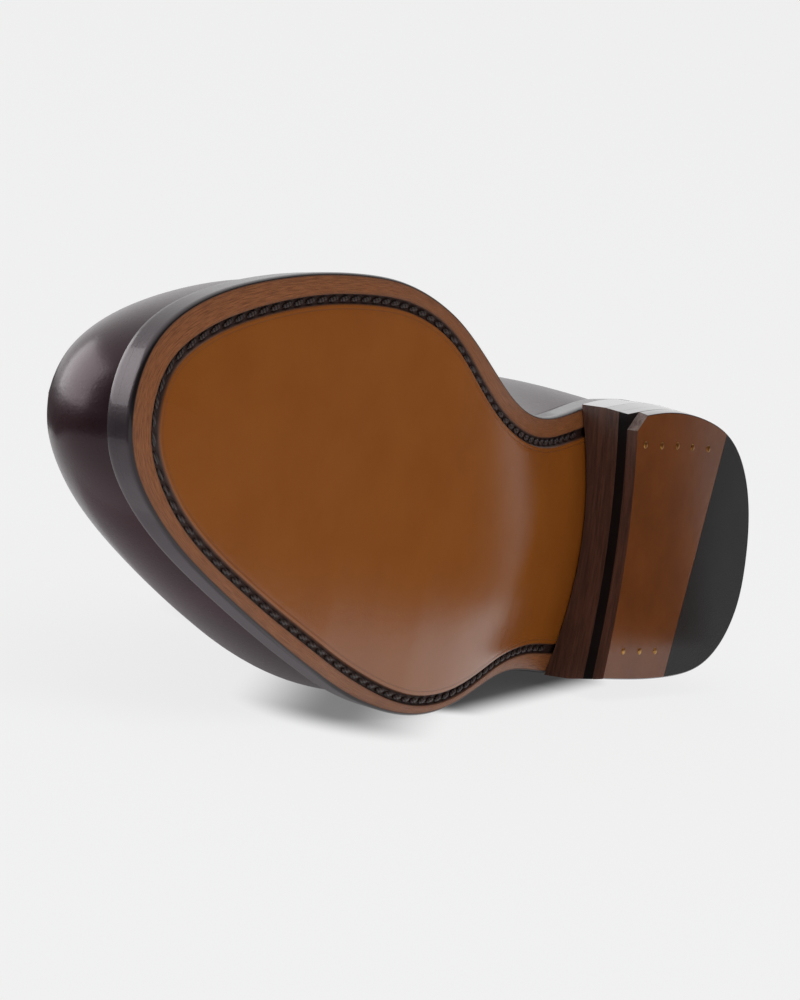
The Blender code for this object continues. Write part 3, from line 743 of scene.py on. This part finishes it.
def heelSlab(low, high, spreadLow, spreadHigh, r):
    # face 0 below, 1 round the side, 2 across the breast

    def row(q, inset, lift, fromTop):
        side = 1 if q >= 0 else -1
        rim = treadSide[side](heelAlong)
        out = unit(rim - heelSpine)
        out[-1] = (side, 0.0)
        rim = rim + out * ((spreadHigh if fromTop else spreadLow) - inset)
        spot = heelSpine + (rim - heelSpine) * abs(q)
        level = (high if fromTop else low)(spot[:, 0], spot[:, 1], q)
        front = np.clip((spot[:, 1] - heel["bowFrom"]) / heel["bowLong"], 0, 1) ** 2
        beside = np.minimum(np.abs(spot[:, 0] - heel["bowMiddle"]) / heel["bowHalf"], 1)
        bow = heel["bow"] * front * (1 - beside ** 2)
        return np.column_stack([spot[:, 0], spot[:, 1] - bow, level + (-lift if fromTop else lift)])

    across = [(1, 0.0, r), (1, 0.3 * r, 0.3 * r), (1, r, 0.0)]
    inside = [(q, r, 0.0) for q in (0.94, 0.8, 0.6, 0.4, 0.2, 0.0, -0.2, -0.4, -0.6, -0.8, -0.94)]
    under = across + inside + [(-q, inset, lift) for q, inset, lift in across[::-1]]
    lower = [row(q, inset, lift, False) for q, inset, lift in under]
    upper = [row(q, inset, lift, True) for q, inset, lift in under]
    spots = np.stack(lower + upper[::-1] + lower[:1], axis=1)
    count = len(lower)
    centre = 0.5 * (spots[-1:, :count] + spots[-1:, count:2 * count][:, ::-1])
    front = np.concatenate([centre, centre[:, ::-1], centre[:, :1]], axis=1)

    def skin(i, k):
        if i >= len(heelAlong) - 1:
            return 2
        return 0 if 2 <= k < count - 3 else 1

    return rowGrid(np.concatenate([spots, front]), paint=skin)


def flatAt(level):
    return lambda x, y, q: level + 0 * x


def underSole(x, y, q):
    return soleEdge(y) - soleHang(y) * (1 - q * q) - 0.00004


def cutHeel(bm, line, keepFront, push):
    start, end = (Vector((*p, 0)) for p in line)
    normal = Vector((0, 0, 1)).cross(end - start).normalized()
    if (normal.y < 0) == keepFront:
        normal = -normal
    bmesh.ops.remove_doubles(bm, verts=bm.verts, dist=0.000004)
    done = bmesh.ops.bisect_plane(bm, geom=bm.verts[:] + bm.edges[:] + bm.faces[:], dist=0.000001,
                                  plane_co=start + normal * push, plane_no=normal, clear_inner=True)
    edges = [item for item in done["geom_cut"] if isinstance(item, bmesh.types.BMEdge)]
    filled = bmesh.ops.holes_fill(bm, edges=edges, sides=0)
    for face in filled["faces"]:
        face.material_index = 3
    return bm


def topSlab(keepFront):
    slab = heelSlab(flatAt(0.0), flatAt(heel["topHigh"]), *heel["flare"][:2], heel["round"])
    return cutHeel(slab, heel["rubberLine"], keepFront, heel["cut"])


lower, black, tread, flare = heel["lowerHigh"], heel["blackHigh"], heel["topHigh"], heel["flare"]
for name, low, high, spread, skin, slot, lift in (
        ("stack_upper", lower, underSole, flare[3:5], stackLeather, "stack_leather", "upper"),
        ("stack_lower", black, flatAt(lower), flare[2:4], stackLeather, "stack_leather", "lower"),
        ("black_layer", tread, flatAt(black), flare[1:3], heelRubber, "heel_rubber", "black")):
    slab = heelSlab(flatAt(low + heel["step"]), high, *spread, heel["seam"])
    addPiece("heel_" + name, slab, [skin, heelDressing, skin], slot, ["heel_lift_" + lift], sharp=14)
addPiece("top_lift_tan", cutHeel(topSlab(True), heel["notchLine"], False, 0.0),
         [shadedTreadTan, heelDressing, stackLeather, rawCut], "sole_leather", ["top_lift_leather"], sharp=14)
addPiece("top_lift_quarter", topSlab(False), [heelRubber, heelDressing, heelRubber, heelRubber],
         "heel_rubber", ["top_lift_rubber"], sharp=14)

# brass nails in the top lift
nails = {
    "inner": [(-0.0231, 0.0672), (-0.0238, 0.0583), (-0.0246, 0.0499), (-0.025, 0.0417),
              (-0.0255, 0.0329)],
    "outer": [(0.029, 0.0617), (0.0283, 0.053), (0.0276, 0.0446)],
    "radius": 0.0009, "dome": 0.0003,
}
bm = bmesh.new()
for x, y in nails["inner"] + nails["outer"]:
    domed = Matrix.Diagonal((nails["radius"], nails["radius"], nails["dome"], 1))
    spot = Matrix.Translation((x, y, 0.0)) @ domed
    bmesh.ops.create_uvsphere(bm, u_segments=14, v_segments=8, radius=1.0, matrix=spot)
addPiece("heel_nails", bm, [brassNail], "heel_rubber", merge=0)
print("heel made")

# upper: the last's outer face up to the top line, with an apron seam and a heel seam
upperShape = {
    "wall": 0.0022, "wallLong": 0.075, "seamHigh": 0.0007, "seamWide": 0.0015, "trough": 0.55,
    "heelSeam": 0.0003, "heelSeamWide": 0.0007, "sideLong": 0.343, "seamFrom": 0.46,
    "seamFade": 0.02, "seamBand": 0.05,
    # fraction, apron seam as a share of the wall
    "apron": [
        (0.4, 0.56), (0.55, 0.56), (0.65, 0.565), (0.75, 0.59), (0.85, 0.645), (0.92, 0.72),
        (0.96, 0.77), (1.0, 0.8)],
}
apronAt = smoothColumn(upperShape["apron"], 1)
stations = spaced([0, 0.03, 0.4, 0.47, throat, 0.86, 1], [7, 44, 14, 26, 44, 40])


def upperRises(f, side):
    reach = float(np.clip(collarAt[side](f), 0, 1)) if f < throat - 1e-6 else 1.0
    seam, band = float(apronAt(f)), upperShape["seamBand"]
    low, high = min(seam - band, 0.7 * reach), min(seam + band, 0.86 * reach)
    return spaced([0, low, high, reach], [26, 25, 16])


def upperLift(f, rises):
    # raised apron seam with a trough on its upper side, and a shallow seam down the heel
    away = (rises - float(apronAt(f))) * upperShape["wallLong"] / upperShape["seamWide"]
    lift = np.exp(-away ** 2) - upperShape["trough"] * np.exp(-(away - 1.5) ** 2)
    fade = np.clip((f - upperShape["seamFrom"]) / upperShape["seamFade"], 0, 1)
    back = math.exp(-(f * upperShape["sideLong"] / upperShape["heelSeamWide"]) ** 2)
    return upperShape["seamHigh"] * lift * fade - upperShape["heelSeam"] * back


bm = None
for s in (1, -1):
    rows = []
    for f in stations:
        rises = upperRises(f, s)
        rows.append(offLast(s, f, rises, upperLift(f, rises)[:, None]))
    spots = np.array(rows)
    if s == 1:
        outerSpots = spots
    else:                          # both halves share the heel, the ridge and the toe
        spots[0], spots[-1] = outerSpots[0], outerSpots[-1]
        ahead = stations >= throat - 1e-6
        spots[ahead, -1] = outerSpots[ahead, -1]
    bm = rowGrid(spots, bm=bm)


def giveWall(piece, thick):
    wall = piece.modifiers.new("wall", "SOLIDIFY")
    wall.thickness = thick
    wall.offset = -1
    wall.material_offset = 1       # lining inside


walled = [upperLeather, liningLeather]
giveWall(addPiece("upper_shell", bm, walled, "upper_leather", ["upper"]), upperShape["wall"])

# rolled top line and its stitches
topLine = {
    "radius": 0.0014, "in": 0.0011, "stitchDown": 0.032,
    # fractions, pitch, lift, size of the stitches, laid across the apron seam
    "stitches": [((0.004, 0.468), 0.0026, 0.0001, (0.002, 0.0006, 0.0005), False),
                 ((0.487, 0.999), 0.0042, 0.000462, (0.003, 0.0008, 0.0008), True)],
}


def topLineRow(side, fractions):
    rise = np.clip(collarAt[side](fractions), 0.01, 1)
    return offLast(side, fractions, rise, -topLine["in"])


def topLineOut(side, fractions):
    return lastOut(side, fractions, np.clip(collarAt[side](fractions), 0.01, 0.98))


def seamRise(side, fractions, onApron):
    return apronAt(fractions) if onApron else collarAt[side](fractions) - topLine["stitchDown"]


collarSteps = throat * (1 - np.linspace(0, 1, 160) ** 1.4)[::-1]
line = np.vstack([topLineRow(1, collarSteps[::-1]), topLineRow(-1, collarSteps[1:-1])])
ahead = unit(np.roll(line, -1, axis=0) - np.roll(line, 1, axis=0))
sideways = np.vstack([topLineOut(1, collarSteps[::-1]), topLineOut(-1, collarSteps[1:-1])])
sideways = unit(sideways - ahead * (sideways * ahead).sum(1)[:, None])
upward = np.cross(sideways, ahead)
ring = []
for turn in np.linspace(0, 2 * math.pi, 13):
    ring.append(line + topLine["radius"] * (sideways * math.cos(turn) + upward * math.sin(turn)))
spots = np.stack(ring, axis=1)
addPiece("top_line_roll", rowGrid(np.concatenate([spots, spots[:1]])), [upperLeather], "upper_leather")

bm = bmesh.new()
for ends, pitch, lift, size, across in topLine["stitches"]:
    for s in (1, -1):
        f = np.linspace(*ends, 700)
        places, runs = evenly(lastPoint(s, f, seamRise(s, f, across)), pitch)
        f = np.linspace(*ends, len(places))
        outs = lastOut(s, f, seamRise(s, f, across))
        addStitches(bm, places + outs * lift, np.cross(runs, outs) if across else runs, outs, size)
addPiece("upper_stitches", bm, [waxedThread], "upper_leather", merge=0)

# tongue
tongue = {"base": 0.575, "tip": 0.385, "half": 0.4, "tipFrom": 0.5, "wall": 0.0018, "in": 0.0032}
rows = []
for a in np.linspace(0, 1, 61):
    f = tongue["base"] + (tongue["tip"] - tongue["base"]) * a
    tip = max(0.0, (a - tongue["tipFrom"]) / (1 - tongue["tipFrom"]))
    reach = tongue["half"] * max(1 - tip ** 3.0, 0.02) ** 0.5
    row = []
    for b in np.linspace(1, -1, 41):
        s = 1 if b >= 0 else -1
        rise = 1 - abs(b) * reach
        out = lastOut(s, f, rise)
        out[0] *= min(1.0, (1 - rise) / 0.06)      # both sides agree along the ridge
        row.append(lastPoint(s, f, rise) - unit(out) * tongue["in"])
    rows.append(row)
flap = rowGrid(np.array(rows))
giveWall(addPiece("tongue_flap", flap, walled, "upper_leather", ["tongue"]), tongue["wall"])
print("upper made")

# lace: on each side a free end runs from its slot along the top line, through the knot, to its tassel
lace = {
    "radius": 0.0011, "drop": 0.055, "slot": 0.31, "knotAt": 0.54,
    "knotSize": (0.0068, 0.0056, 0.0036), "core": (0.0056, 0.0042, 0.0024),
    "wrapRadius": 0.00125, "wrapFlat": 0.56, "tuck": 0.0022, "topLineFrom": 0.455,
    "joinDeep": 0.001, "bow": 0.0006,
    # place along the knot, tilt, size of each turn
    "wraps": [(-0.0034, 0.22, 0.0036), (0.0, -0.3, 0.0042), (0.0034, 0.22, 0.0036)],
    # fraction, rise outer and inner, from the knot down to the top line
    "run": [
        (0.54, 0.942, 0.925), (0.535, 0.87, 0.86), (0.524, 0.77, 0.77), (0.508, 0.655, 0.655),
        (0.492, 0.555, 0.555), (0.475, 0.47, 0.47)],
    "tassels": [("outer", 1, (0.606, 0.975, 0.0036), (0.706, 0.96, 0.005)),
                ("inner", -1, (0.59, 0.865, 0.0035), (0.678, 0.72, 0.0052))],
}
knotOut = lastOut(1, lace["knotAt"], 1.0)
knotOut[0] = 0
knotOut = unit(knotOut)
knotPlace = Vector(ridgeAt(lace["knotAt"]) + knotOut * (lace["knotSize"][2] + 1.5 * gap))
knotUp = Vector(knotOut)
knotTurn = Matrix((Vector((1, 0, 0)), knotUp.cross(Vector((1, 0, 0))), knotUp)).transposed()
knotMatrix = Matrix.Translation(knotPlace) @ knotTurn.to_4x4()


def spinRound(bm, geom, axis, steps):
    bmesh.ops.spin(bm, geom=geom, axis=axis, cent=(0, 0, 0), angle=2 * math.pi, steps=steps,
                   use_merge=True)


bm = bmesh.new()
core = Matrix.Diagonal((*lace["core"], 1))
bmesh.ops.create_uvsphere(bm, u_segments=20, v_segments=12, radius=1.0, matrix=core)
for offset, tilt, big in lace["wraps"]:
    centre = Matrix.Translation((0, big, 0))
    made = bmesh.ops.create_circle(bm, segments=10, radius=lace["wrapRadius"], matrix=centre)
    loop = made["verts"]
    edges = list({e for v in loop for e in v.link_edges})
    old = set(bm.verts) - set(loop)
    spinRound(bm, loop + edges, (1, 0, 0), 30)
    wrap = [v for v in bm.verts if v not in old]
    bmesh.ops.scale(bm, verts=wrap, vec=(1.0, 1.0, lace["wrapFlat"]))
    bmesh.ops.rotate(bm, verts=wrap, cent=(0, 0, 0), matrix=Matrix.Rotation(tilt, 3, "Z"))
    bmesh.ops.translate(bm, verts=wrap, vec=(offset, 0, 0))
bmesh.ops.transform(bm, matrix=knotMatrix, verts=bm.verts)
addPiece("lace_knot_wraps", bm, [laceLeather], "lace_leather", ["lace_knot"], sharp=60)

tassel = {
    "cap": [
        (0.0, 0.0), (0.0, 0.0016), (0.001, 0.0036), (0.0038, 0.0047), (0.0052, 0.0044),
        (0.0058, 0.0047), (0.0075, 0.0046), (0.0092, 0.0039), (0.0094, 0.0)],
    # strips, share of the spread and reach of each layer
    "layers": [(15, 1.0, 0.0316), (9, 0.55, 0.0308)],
    "from": 0.008, "flat": 0.72, "wide": 0.0023, "thick": 0.0008, "ragged": 0.0007,
    "neck": 0.0036, "spread": 0.0026, "curl": 0.001,
}


def buildTassel(name, start, turn):
    bm = bmesh.new()
    line = [bm.verts.new((radius, 0, place)) for place, radius in tassel["cap"]]
    edges = [bm.edges.new(pair) for pair in zip(line, line[1:])]
    spinRound(bm, line + edges, (0, 0, 1), 28)
    bmesh.ops.remove_doubles(bm, verts=bm.verts, dist=0.00001)
    for layer, (count, tight, reach) in enumerate(tassel["layers"]):
        for j in range(count):
            angle = 2 * math.pi * (j + 0.5 * layer) / count
            long = reach - tassel["ragged"] * (0.5 + 0.5 * math.sin(7.3 * j + 2 * layer))
            made = bmesh.ops.create_grid(bm, x_segments=2, y_segments=9, size=0.5)
            for v in made["verts"]:
                a, b = v.co.x, v.co.y + 0.5
                place = tassel["from"] + (long - tassel["from"]) * b
                radius = (tassel["neck"] + tassel["spread"] * b ** 0.7) * tight
                swing = angle + 0.05 * b * math.sin(5.1 * j)
                out = Vector((math.cos(swing), math.sin(swing), 0))
                v.co = out * (radius - 0.5 * a * a * tassel["curl"])
                v.co += Vector((-out.y, out.x, 0)) * a * tassel["wide"]
                v.co.z = place
            faces = list({f for v in made["verts"] for f in v.link_faces})
            bmesh.ops.recalc_face_normals(bm, faces=faces)
            bmesh.ops.solidify(bm, geom=faces, thickness=tassel["thick"])
    bmesh.ops.scale(bm, verts=bm.verts, vec=(1, tassel["flat"], 1))
    bmesh.ops.transform(bm, matrix=Matrix.Translation(start) @ turn.to_4x4(), verts=bm.verts)
    name = "tassel_" + name
    return addPiece(name + "_fringe", bm, [laceLeather], "lace_leather", [name], sharp=45)


def rounded(line, times):
    # corners cut again and again until the line is smooth
    for again in range(times):
        cut = [line[0]]
        for a, b in zip(line, line[1:]):
            cut += [a.lerp(b, 0.25), a.lerp(b, 0.75)]
        line = cut + [line[-1]]
    return line


for name, s, base, tip in lace["tassels"]:
    start = Vector(offLast(-1, *base))
    end = Vector(offLast(-1, *tip))
    downward = (end - start).normalized()
    outward = Vector(lastOut(-1, 0.5 * (base[0] + tip[0]), 0.5 * (base[1] + tip[1])))
    outward = (outward - downward * outward.dot(downward)).normalized()
    turn = Matrix((downward.cross(outward), outward, downward)).transposed()
    tasselPiece = buildTassel(name, start, turn)
    run = [(row[0], row[1 if s == 1 else 2]) for row in lace["run"]]
    run += [(f, float(collarAt[s](f)) - lace["drop"])
            for f in np.linspace(lace["topLineFrom"], lace["slot"], 9)]
    route = [Vector(offLast(s, f, r, lace["radius"] + 1.5 * gap)) for f, r in run]
    slotIn = Vector(lastOut(s, *run[-1])) * -lace["tuck"]
    away = (start - knotPlace).normalized()
    local = knotTurn.transposed() @ away
    reach = 1 / math.sqrt(sum((c / size) ** 2 for c, size in zip(local, lace["knotSize"])))
    leave = knotPlace + away * (reach + 2.5 * gap)
    join = start + downward * lace["joinDeep"]
    bow = leave.lerp(join, 0.5) + outward * lace["bow"]
    route = [route[-1] + (route[-1] - route[-2]).normalized() * lace["tuck"] + slotIn] + route[::-1]
    route = route[:-2] + rounded(route[-2:] + [knotPlace, leave, bow, join], 2)
    route = [lying @ p for p in route]
    data = bpy.data.curves.new("lace_" + name + "_cord", "CURVE")
    data.dimensions = "3D"
    data.bevel_depth = lace["radius"]
    data.bevel_resolution = 4
    data.resolution_u = 8
    data.use_fill_caps = True
    strand = data.splines.new("BEZIER")
    strand.bezier_points.add(len(route) - 1)
    for point, place in zip(strand.bezier_points, route):
        point.co = place
        point.handle_left_type = point.handle_right_type = "AUTO"
    data.materials.append(laceLeather)
    cordPiece = addObject(data.name, data)
    joinFrame(cordPiece, "lace_leather", ["lace_" + name, "lace_end_" + name])
    bpy.context.view_layer.update()
    tuple(route[0])
print("lace and tassels made")

# floor, light and camera
stage = {
    "floorSize": 14.0, "domeAxis": (0.2, 0.75, 0.63), "domeFrom": 0.1, "domeTo": 0.8, "dim": 0.05,
    "bright": 1.08, "seen": 0.871, "dome": 0.45,
    # name, place, size, watts, seen in reflections; each aims at the shoe
    "lights": [("overhead", (-0.35, -0.45, 2.2), (2.4, 2.0), 12.0, False),
               ("leftBox", (-0.61, 1.33, 0.56), (1.95, 1.1), 27.0, True)],
    "glow": 0.803,
    # painted contact shadows in the floor's glow: two ends on the floor, how far the painted shade is
    # full and where it stops, fall along the line, depth
    "paintedContactShadows": [((-0.044, -0.045), (-0.012, -0.03), 0.002, 0.027, 0.8, 0.74),
                 ((0.01, -0.03), (0.095, -0.014), 0.014, 0.026, 1.0, 0.94),
                 ((0.045, 0.026), (0.105, 0.024), 0.0, 0.034, 1.0, 0.36)],
    "warm": {"from": (0.147, -0.06, 0.012), "to": (-0.024, -0.296, 0.105), "segments": (12, 4),
             "colour": (0.3, 0.1, 0.02, 1.0), "glow": 0.0},
    # painted dark reflection: a near-black sheet beyond the toe, seen only in reflections
    "dark": {"centre": (-0.14, 0.0), "from": (0.42, 0.11), "to": 1.3, "angles": (0.35, 3.25),
             "nearFrom": 1.3, "lift": 0.001, "segments": (24, 2), "colour": (0.012, 0.01, 0.011, 1.0),
             "glow": 0.0},
    # painted shade: a grey, faintly glowing sheet under the toe, seen only in reflections
    "under": {"from": (-0.125, -0.045), "to": (-0.01, 0.036), "lift": 0.0005, "segments": (2, 2),
              "colour": (0.66, 0.63, 0.65, 1.0), "glow": 0.33},
    "aim": (-0.01, -0.02, 0.05),
}


def addSheet(name, segments, place, skin, seen=False):
    # cards that aren't seen are only there for their reflection
    bm = bmesh.new()
    bmesh.ops.create_grid(bm, x_segments=segments[0], y_segments=segments[1], size=0.5)
    for vert in bm.verts:
        vert.co = place(vert.co.x + 0.5, vert.co.y + 0.5)
    sheet = addMesh(name, bm, [skin])
    sheet.visible_camera = sheet.visible_diffuse = sheet.visible_shadow = seen
    sheet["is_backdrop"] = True


def floorPlace(a, b):
    return ((a - 0.5) * stage["floorSize"], (b - 0.5) * stage["floorSize"], 0.0)


def warmPlace(a, b):               # stands beside the sole
    start, end = stage["warm"]["from"], stage["warm"]["to"]
    return [x + (y - x) * share for x, y, share in zip(start, end, (a, a, b))]


# a near-black sheet seen only in reflections: painted dark reflection
def darkReflectionPlace(a, b):               # on the floor beyond the toe
    dark = stage["dark"]
    angle = dark["angles"][0] + (dark["angles"][1] - dark["angles"][0]) * a
    start = np.interp(angle, [dark["angles"][0], dark["nearFrom"]], dark["from"])
    reach = start + (dark["to"] - start) * b
    x, y = dark["centre"]
    return (x + reach * math.cos(angle), y + reach * math.sin(angle), dark["lift"])


# a grey, faintly glowing sheet seen only in reflections: painted shade of the floor under the toe
def paintedShadeUnderToePlace(a, b):              # on the floor under the toe
    under = stage["under"]
    shares = zip(under["from"], under["to"], (a, b))
    return [x + (y - x) * share for x, y, share in shares] + [under["lift"]]


fixed = {"Roughness": 0.6, "Specular IOR Level": 0.0, "Base Color": finishes["floor"],
         "Emission Strength": 1.0}
floorSkin, wire, shader = newFinish("pale_floor", fixed)
coords = wire.node("ShaderNodeTexCoord", out="Object")
# the floor's even glow is dimmed near each line: painted contact shadows
glow = 1.0
for first, last, near, far, fall, depth in stage["paintedContactShadows"]:
    first, last = Vector(first), Vector(last)
    middle, run = (first + last) / 2, (last - first).normalized()
    x = wire.node("ShaderNodeSeparateXYZ", {}, {0: coords}, out="X") - middle.x
    y = wire.node("ShaderNodeSeparateXYZ", {}, {0: coords}, out="Y") - middle.y
    beside = x * run.x + y * run.y
    before = y * run.x - x * run.y
    beyond = beside.maths("ABSOLUTE", beside) - (last - first).length / 2
    beyond = beyond.maths("MAXIMUM", beyond, 0.0) * fall
    lit = ramp((beyond * beyond + before * before) ** 0.5, near, far)
    glow = glow * (1 - depth * (1 - lit))
glow = glow * stage["glow"]
glow = wire.node("ShaderNodeCombineColor", {}, {0: glow, 1: glow, 2: glow})
wire.tree.links.new(glow.socket, shader.inputs["Emission Color"])
addSheet("floor", (8, 8), floorPlace, floorSkin, seen=True)
for name, place in (("warm", warmPlace), ("dark", darkReflectionPlace), ("under", paintedShadeUnderToePlace)):
    card = stage[name]
    fixed = {"Roughness": 0.9, "Base Color": card["colour"], "Emission Color": card["colour"],
             "Emission Strength": card["glow"]}
    paper = newFinish(name + "_card_paper", fixed)[0]
    addSheet(name + "_card", card["segments"], place, paper)

for name, place, size, watts, shines in stage["lights"]:
    data = bpy.data.lights.new(name, "AREA")
    data.shape = "RECTANGLE"
    data.size, data.size_y = size
    data.energy = watts
    light = addObject(name, data)
    light.location = place
    light.rotation_mode = "QUATERNION"
    light.rotation_quaternion = (Vector(stage["aim"]) - Vector(place)).to_track_quat("-Z", "Y")
    light.visible_camera = False
    light.visible_glossy, light.visible_diffuse = shines, not shines

view = {
    "place": (-1.979228, -1.13831, 0.361145), "axis": (0.883472, 0.46205, -0.077382),
    "up": (-0.029264, 0.219282, 0.975223), "photoLens": 4330.27,
    "centre": (219.0, 727.0), "photoMiddle": (400.0, 500.0), "enlarge": 2.16, "sensor": 36.0,
}
axis, upVector = Vector(view["axis"]), Vector(view["up"])
rightVector = axis.cross(upVector)
offset = [(c - m) / view["photoLens"] for c, m in zip(view["centre"], view["photoMiddle"])]
aim = (axis + rightVector * offset[0] - upVector * offset[1]).normalized()
upVector = (upVector - aim * upVector.dot(aim)).normalized()
data = bpy.data.cameras.new("camera")
data.sensor_width = view["sensor"]
data.lens = view["photoLens"] * view["enlarge"] * view["sensor"] / 1000
data.clip_end = 60
camera = addObject("camera", data)
turn = Matrix((aim.cross(upVector), upVector, -aim)).transposed()
camera.matrix_world = Matrix.Translation(view["place"]) @ turn.to_4x4()
scene.camera = camera

world = scene.world = scene.world or bpy.data.worlds.new("studio")
world.use_nodes = True
world.node_tree.nodes.clear()
sky = Wire(world.node_tree)
coords = sky.node("ShaderNodeTexCoord", out="Generated")
away = sky.node("ShaderNodeVectorMath", {"operation": "DOT_PRODUCT"},
                {0: coords, 1: stage["domeAxis"]}, out="Value")
wash = ramp(away, stage["domeFrom"], stage["domeTo"], stage["dim"], stage["bright"])
seen = sky.node("ShaderNodeLightPath", out="Is Camera Ray")
gloss = sky.node("ShaderNodeLightPath", out="Is Glossy Ray")
strength = seen * stage["seen"] + (1 - seen) * (gloss * wash + (1 - gloss) * stage["dome"])
backdrop = sky.node("ShaderNodeBackground", {}, {"Color": (1, 1, 1, 1), "Strength": strength})
sky.node("ShaderNodeOutputWorld", {}, {"Surface": backdrop})
world.cycles.sampling_method = "NONE"     # one even dome, so rays find it themselves
scene.view_settings.view_transform = "Standard"
print("stage made")

low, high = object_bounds()
{"cad": [list(cadBox[0]), list(cadBox[1])], "visual": [list(low), list(high)]}
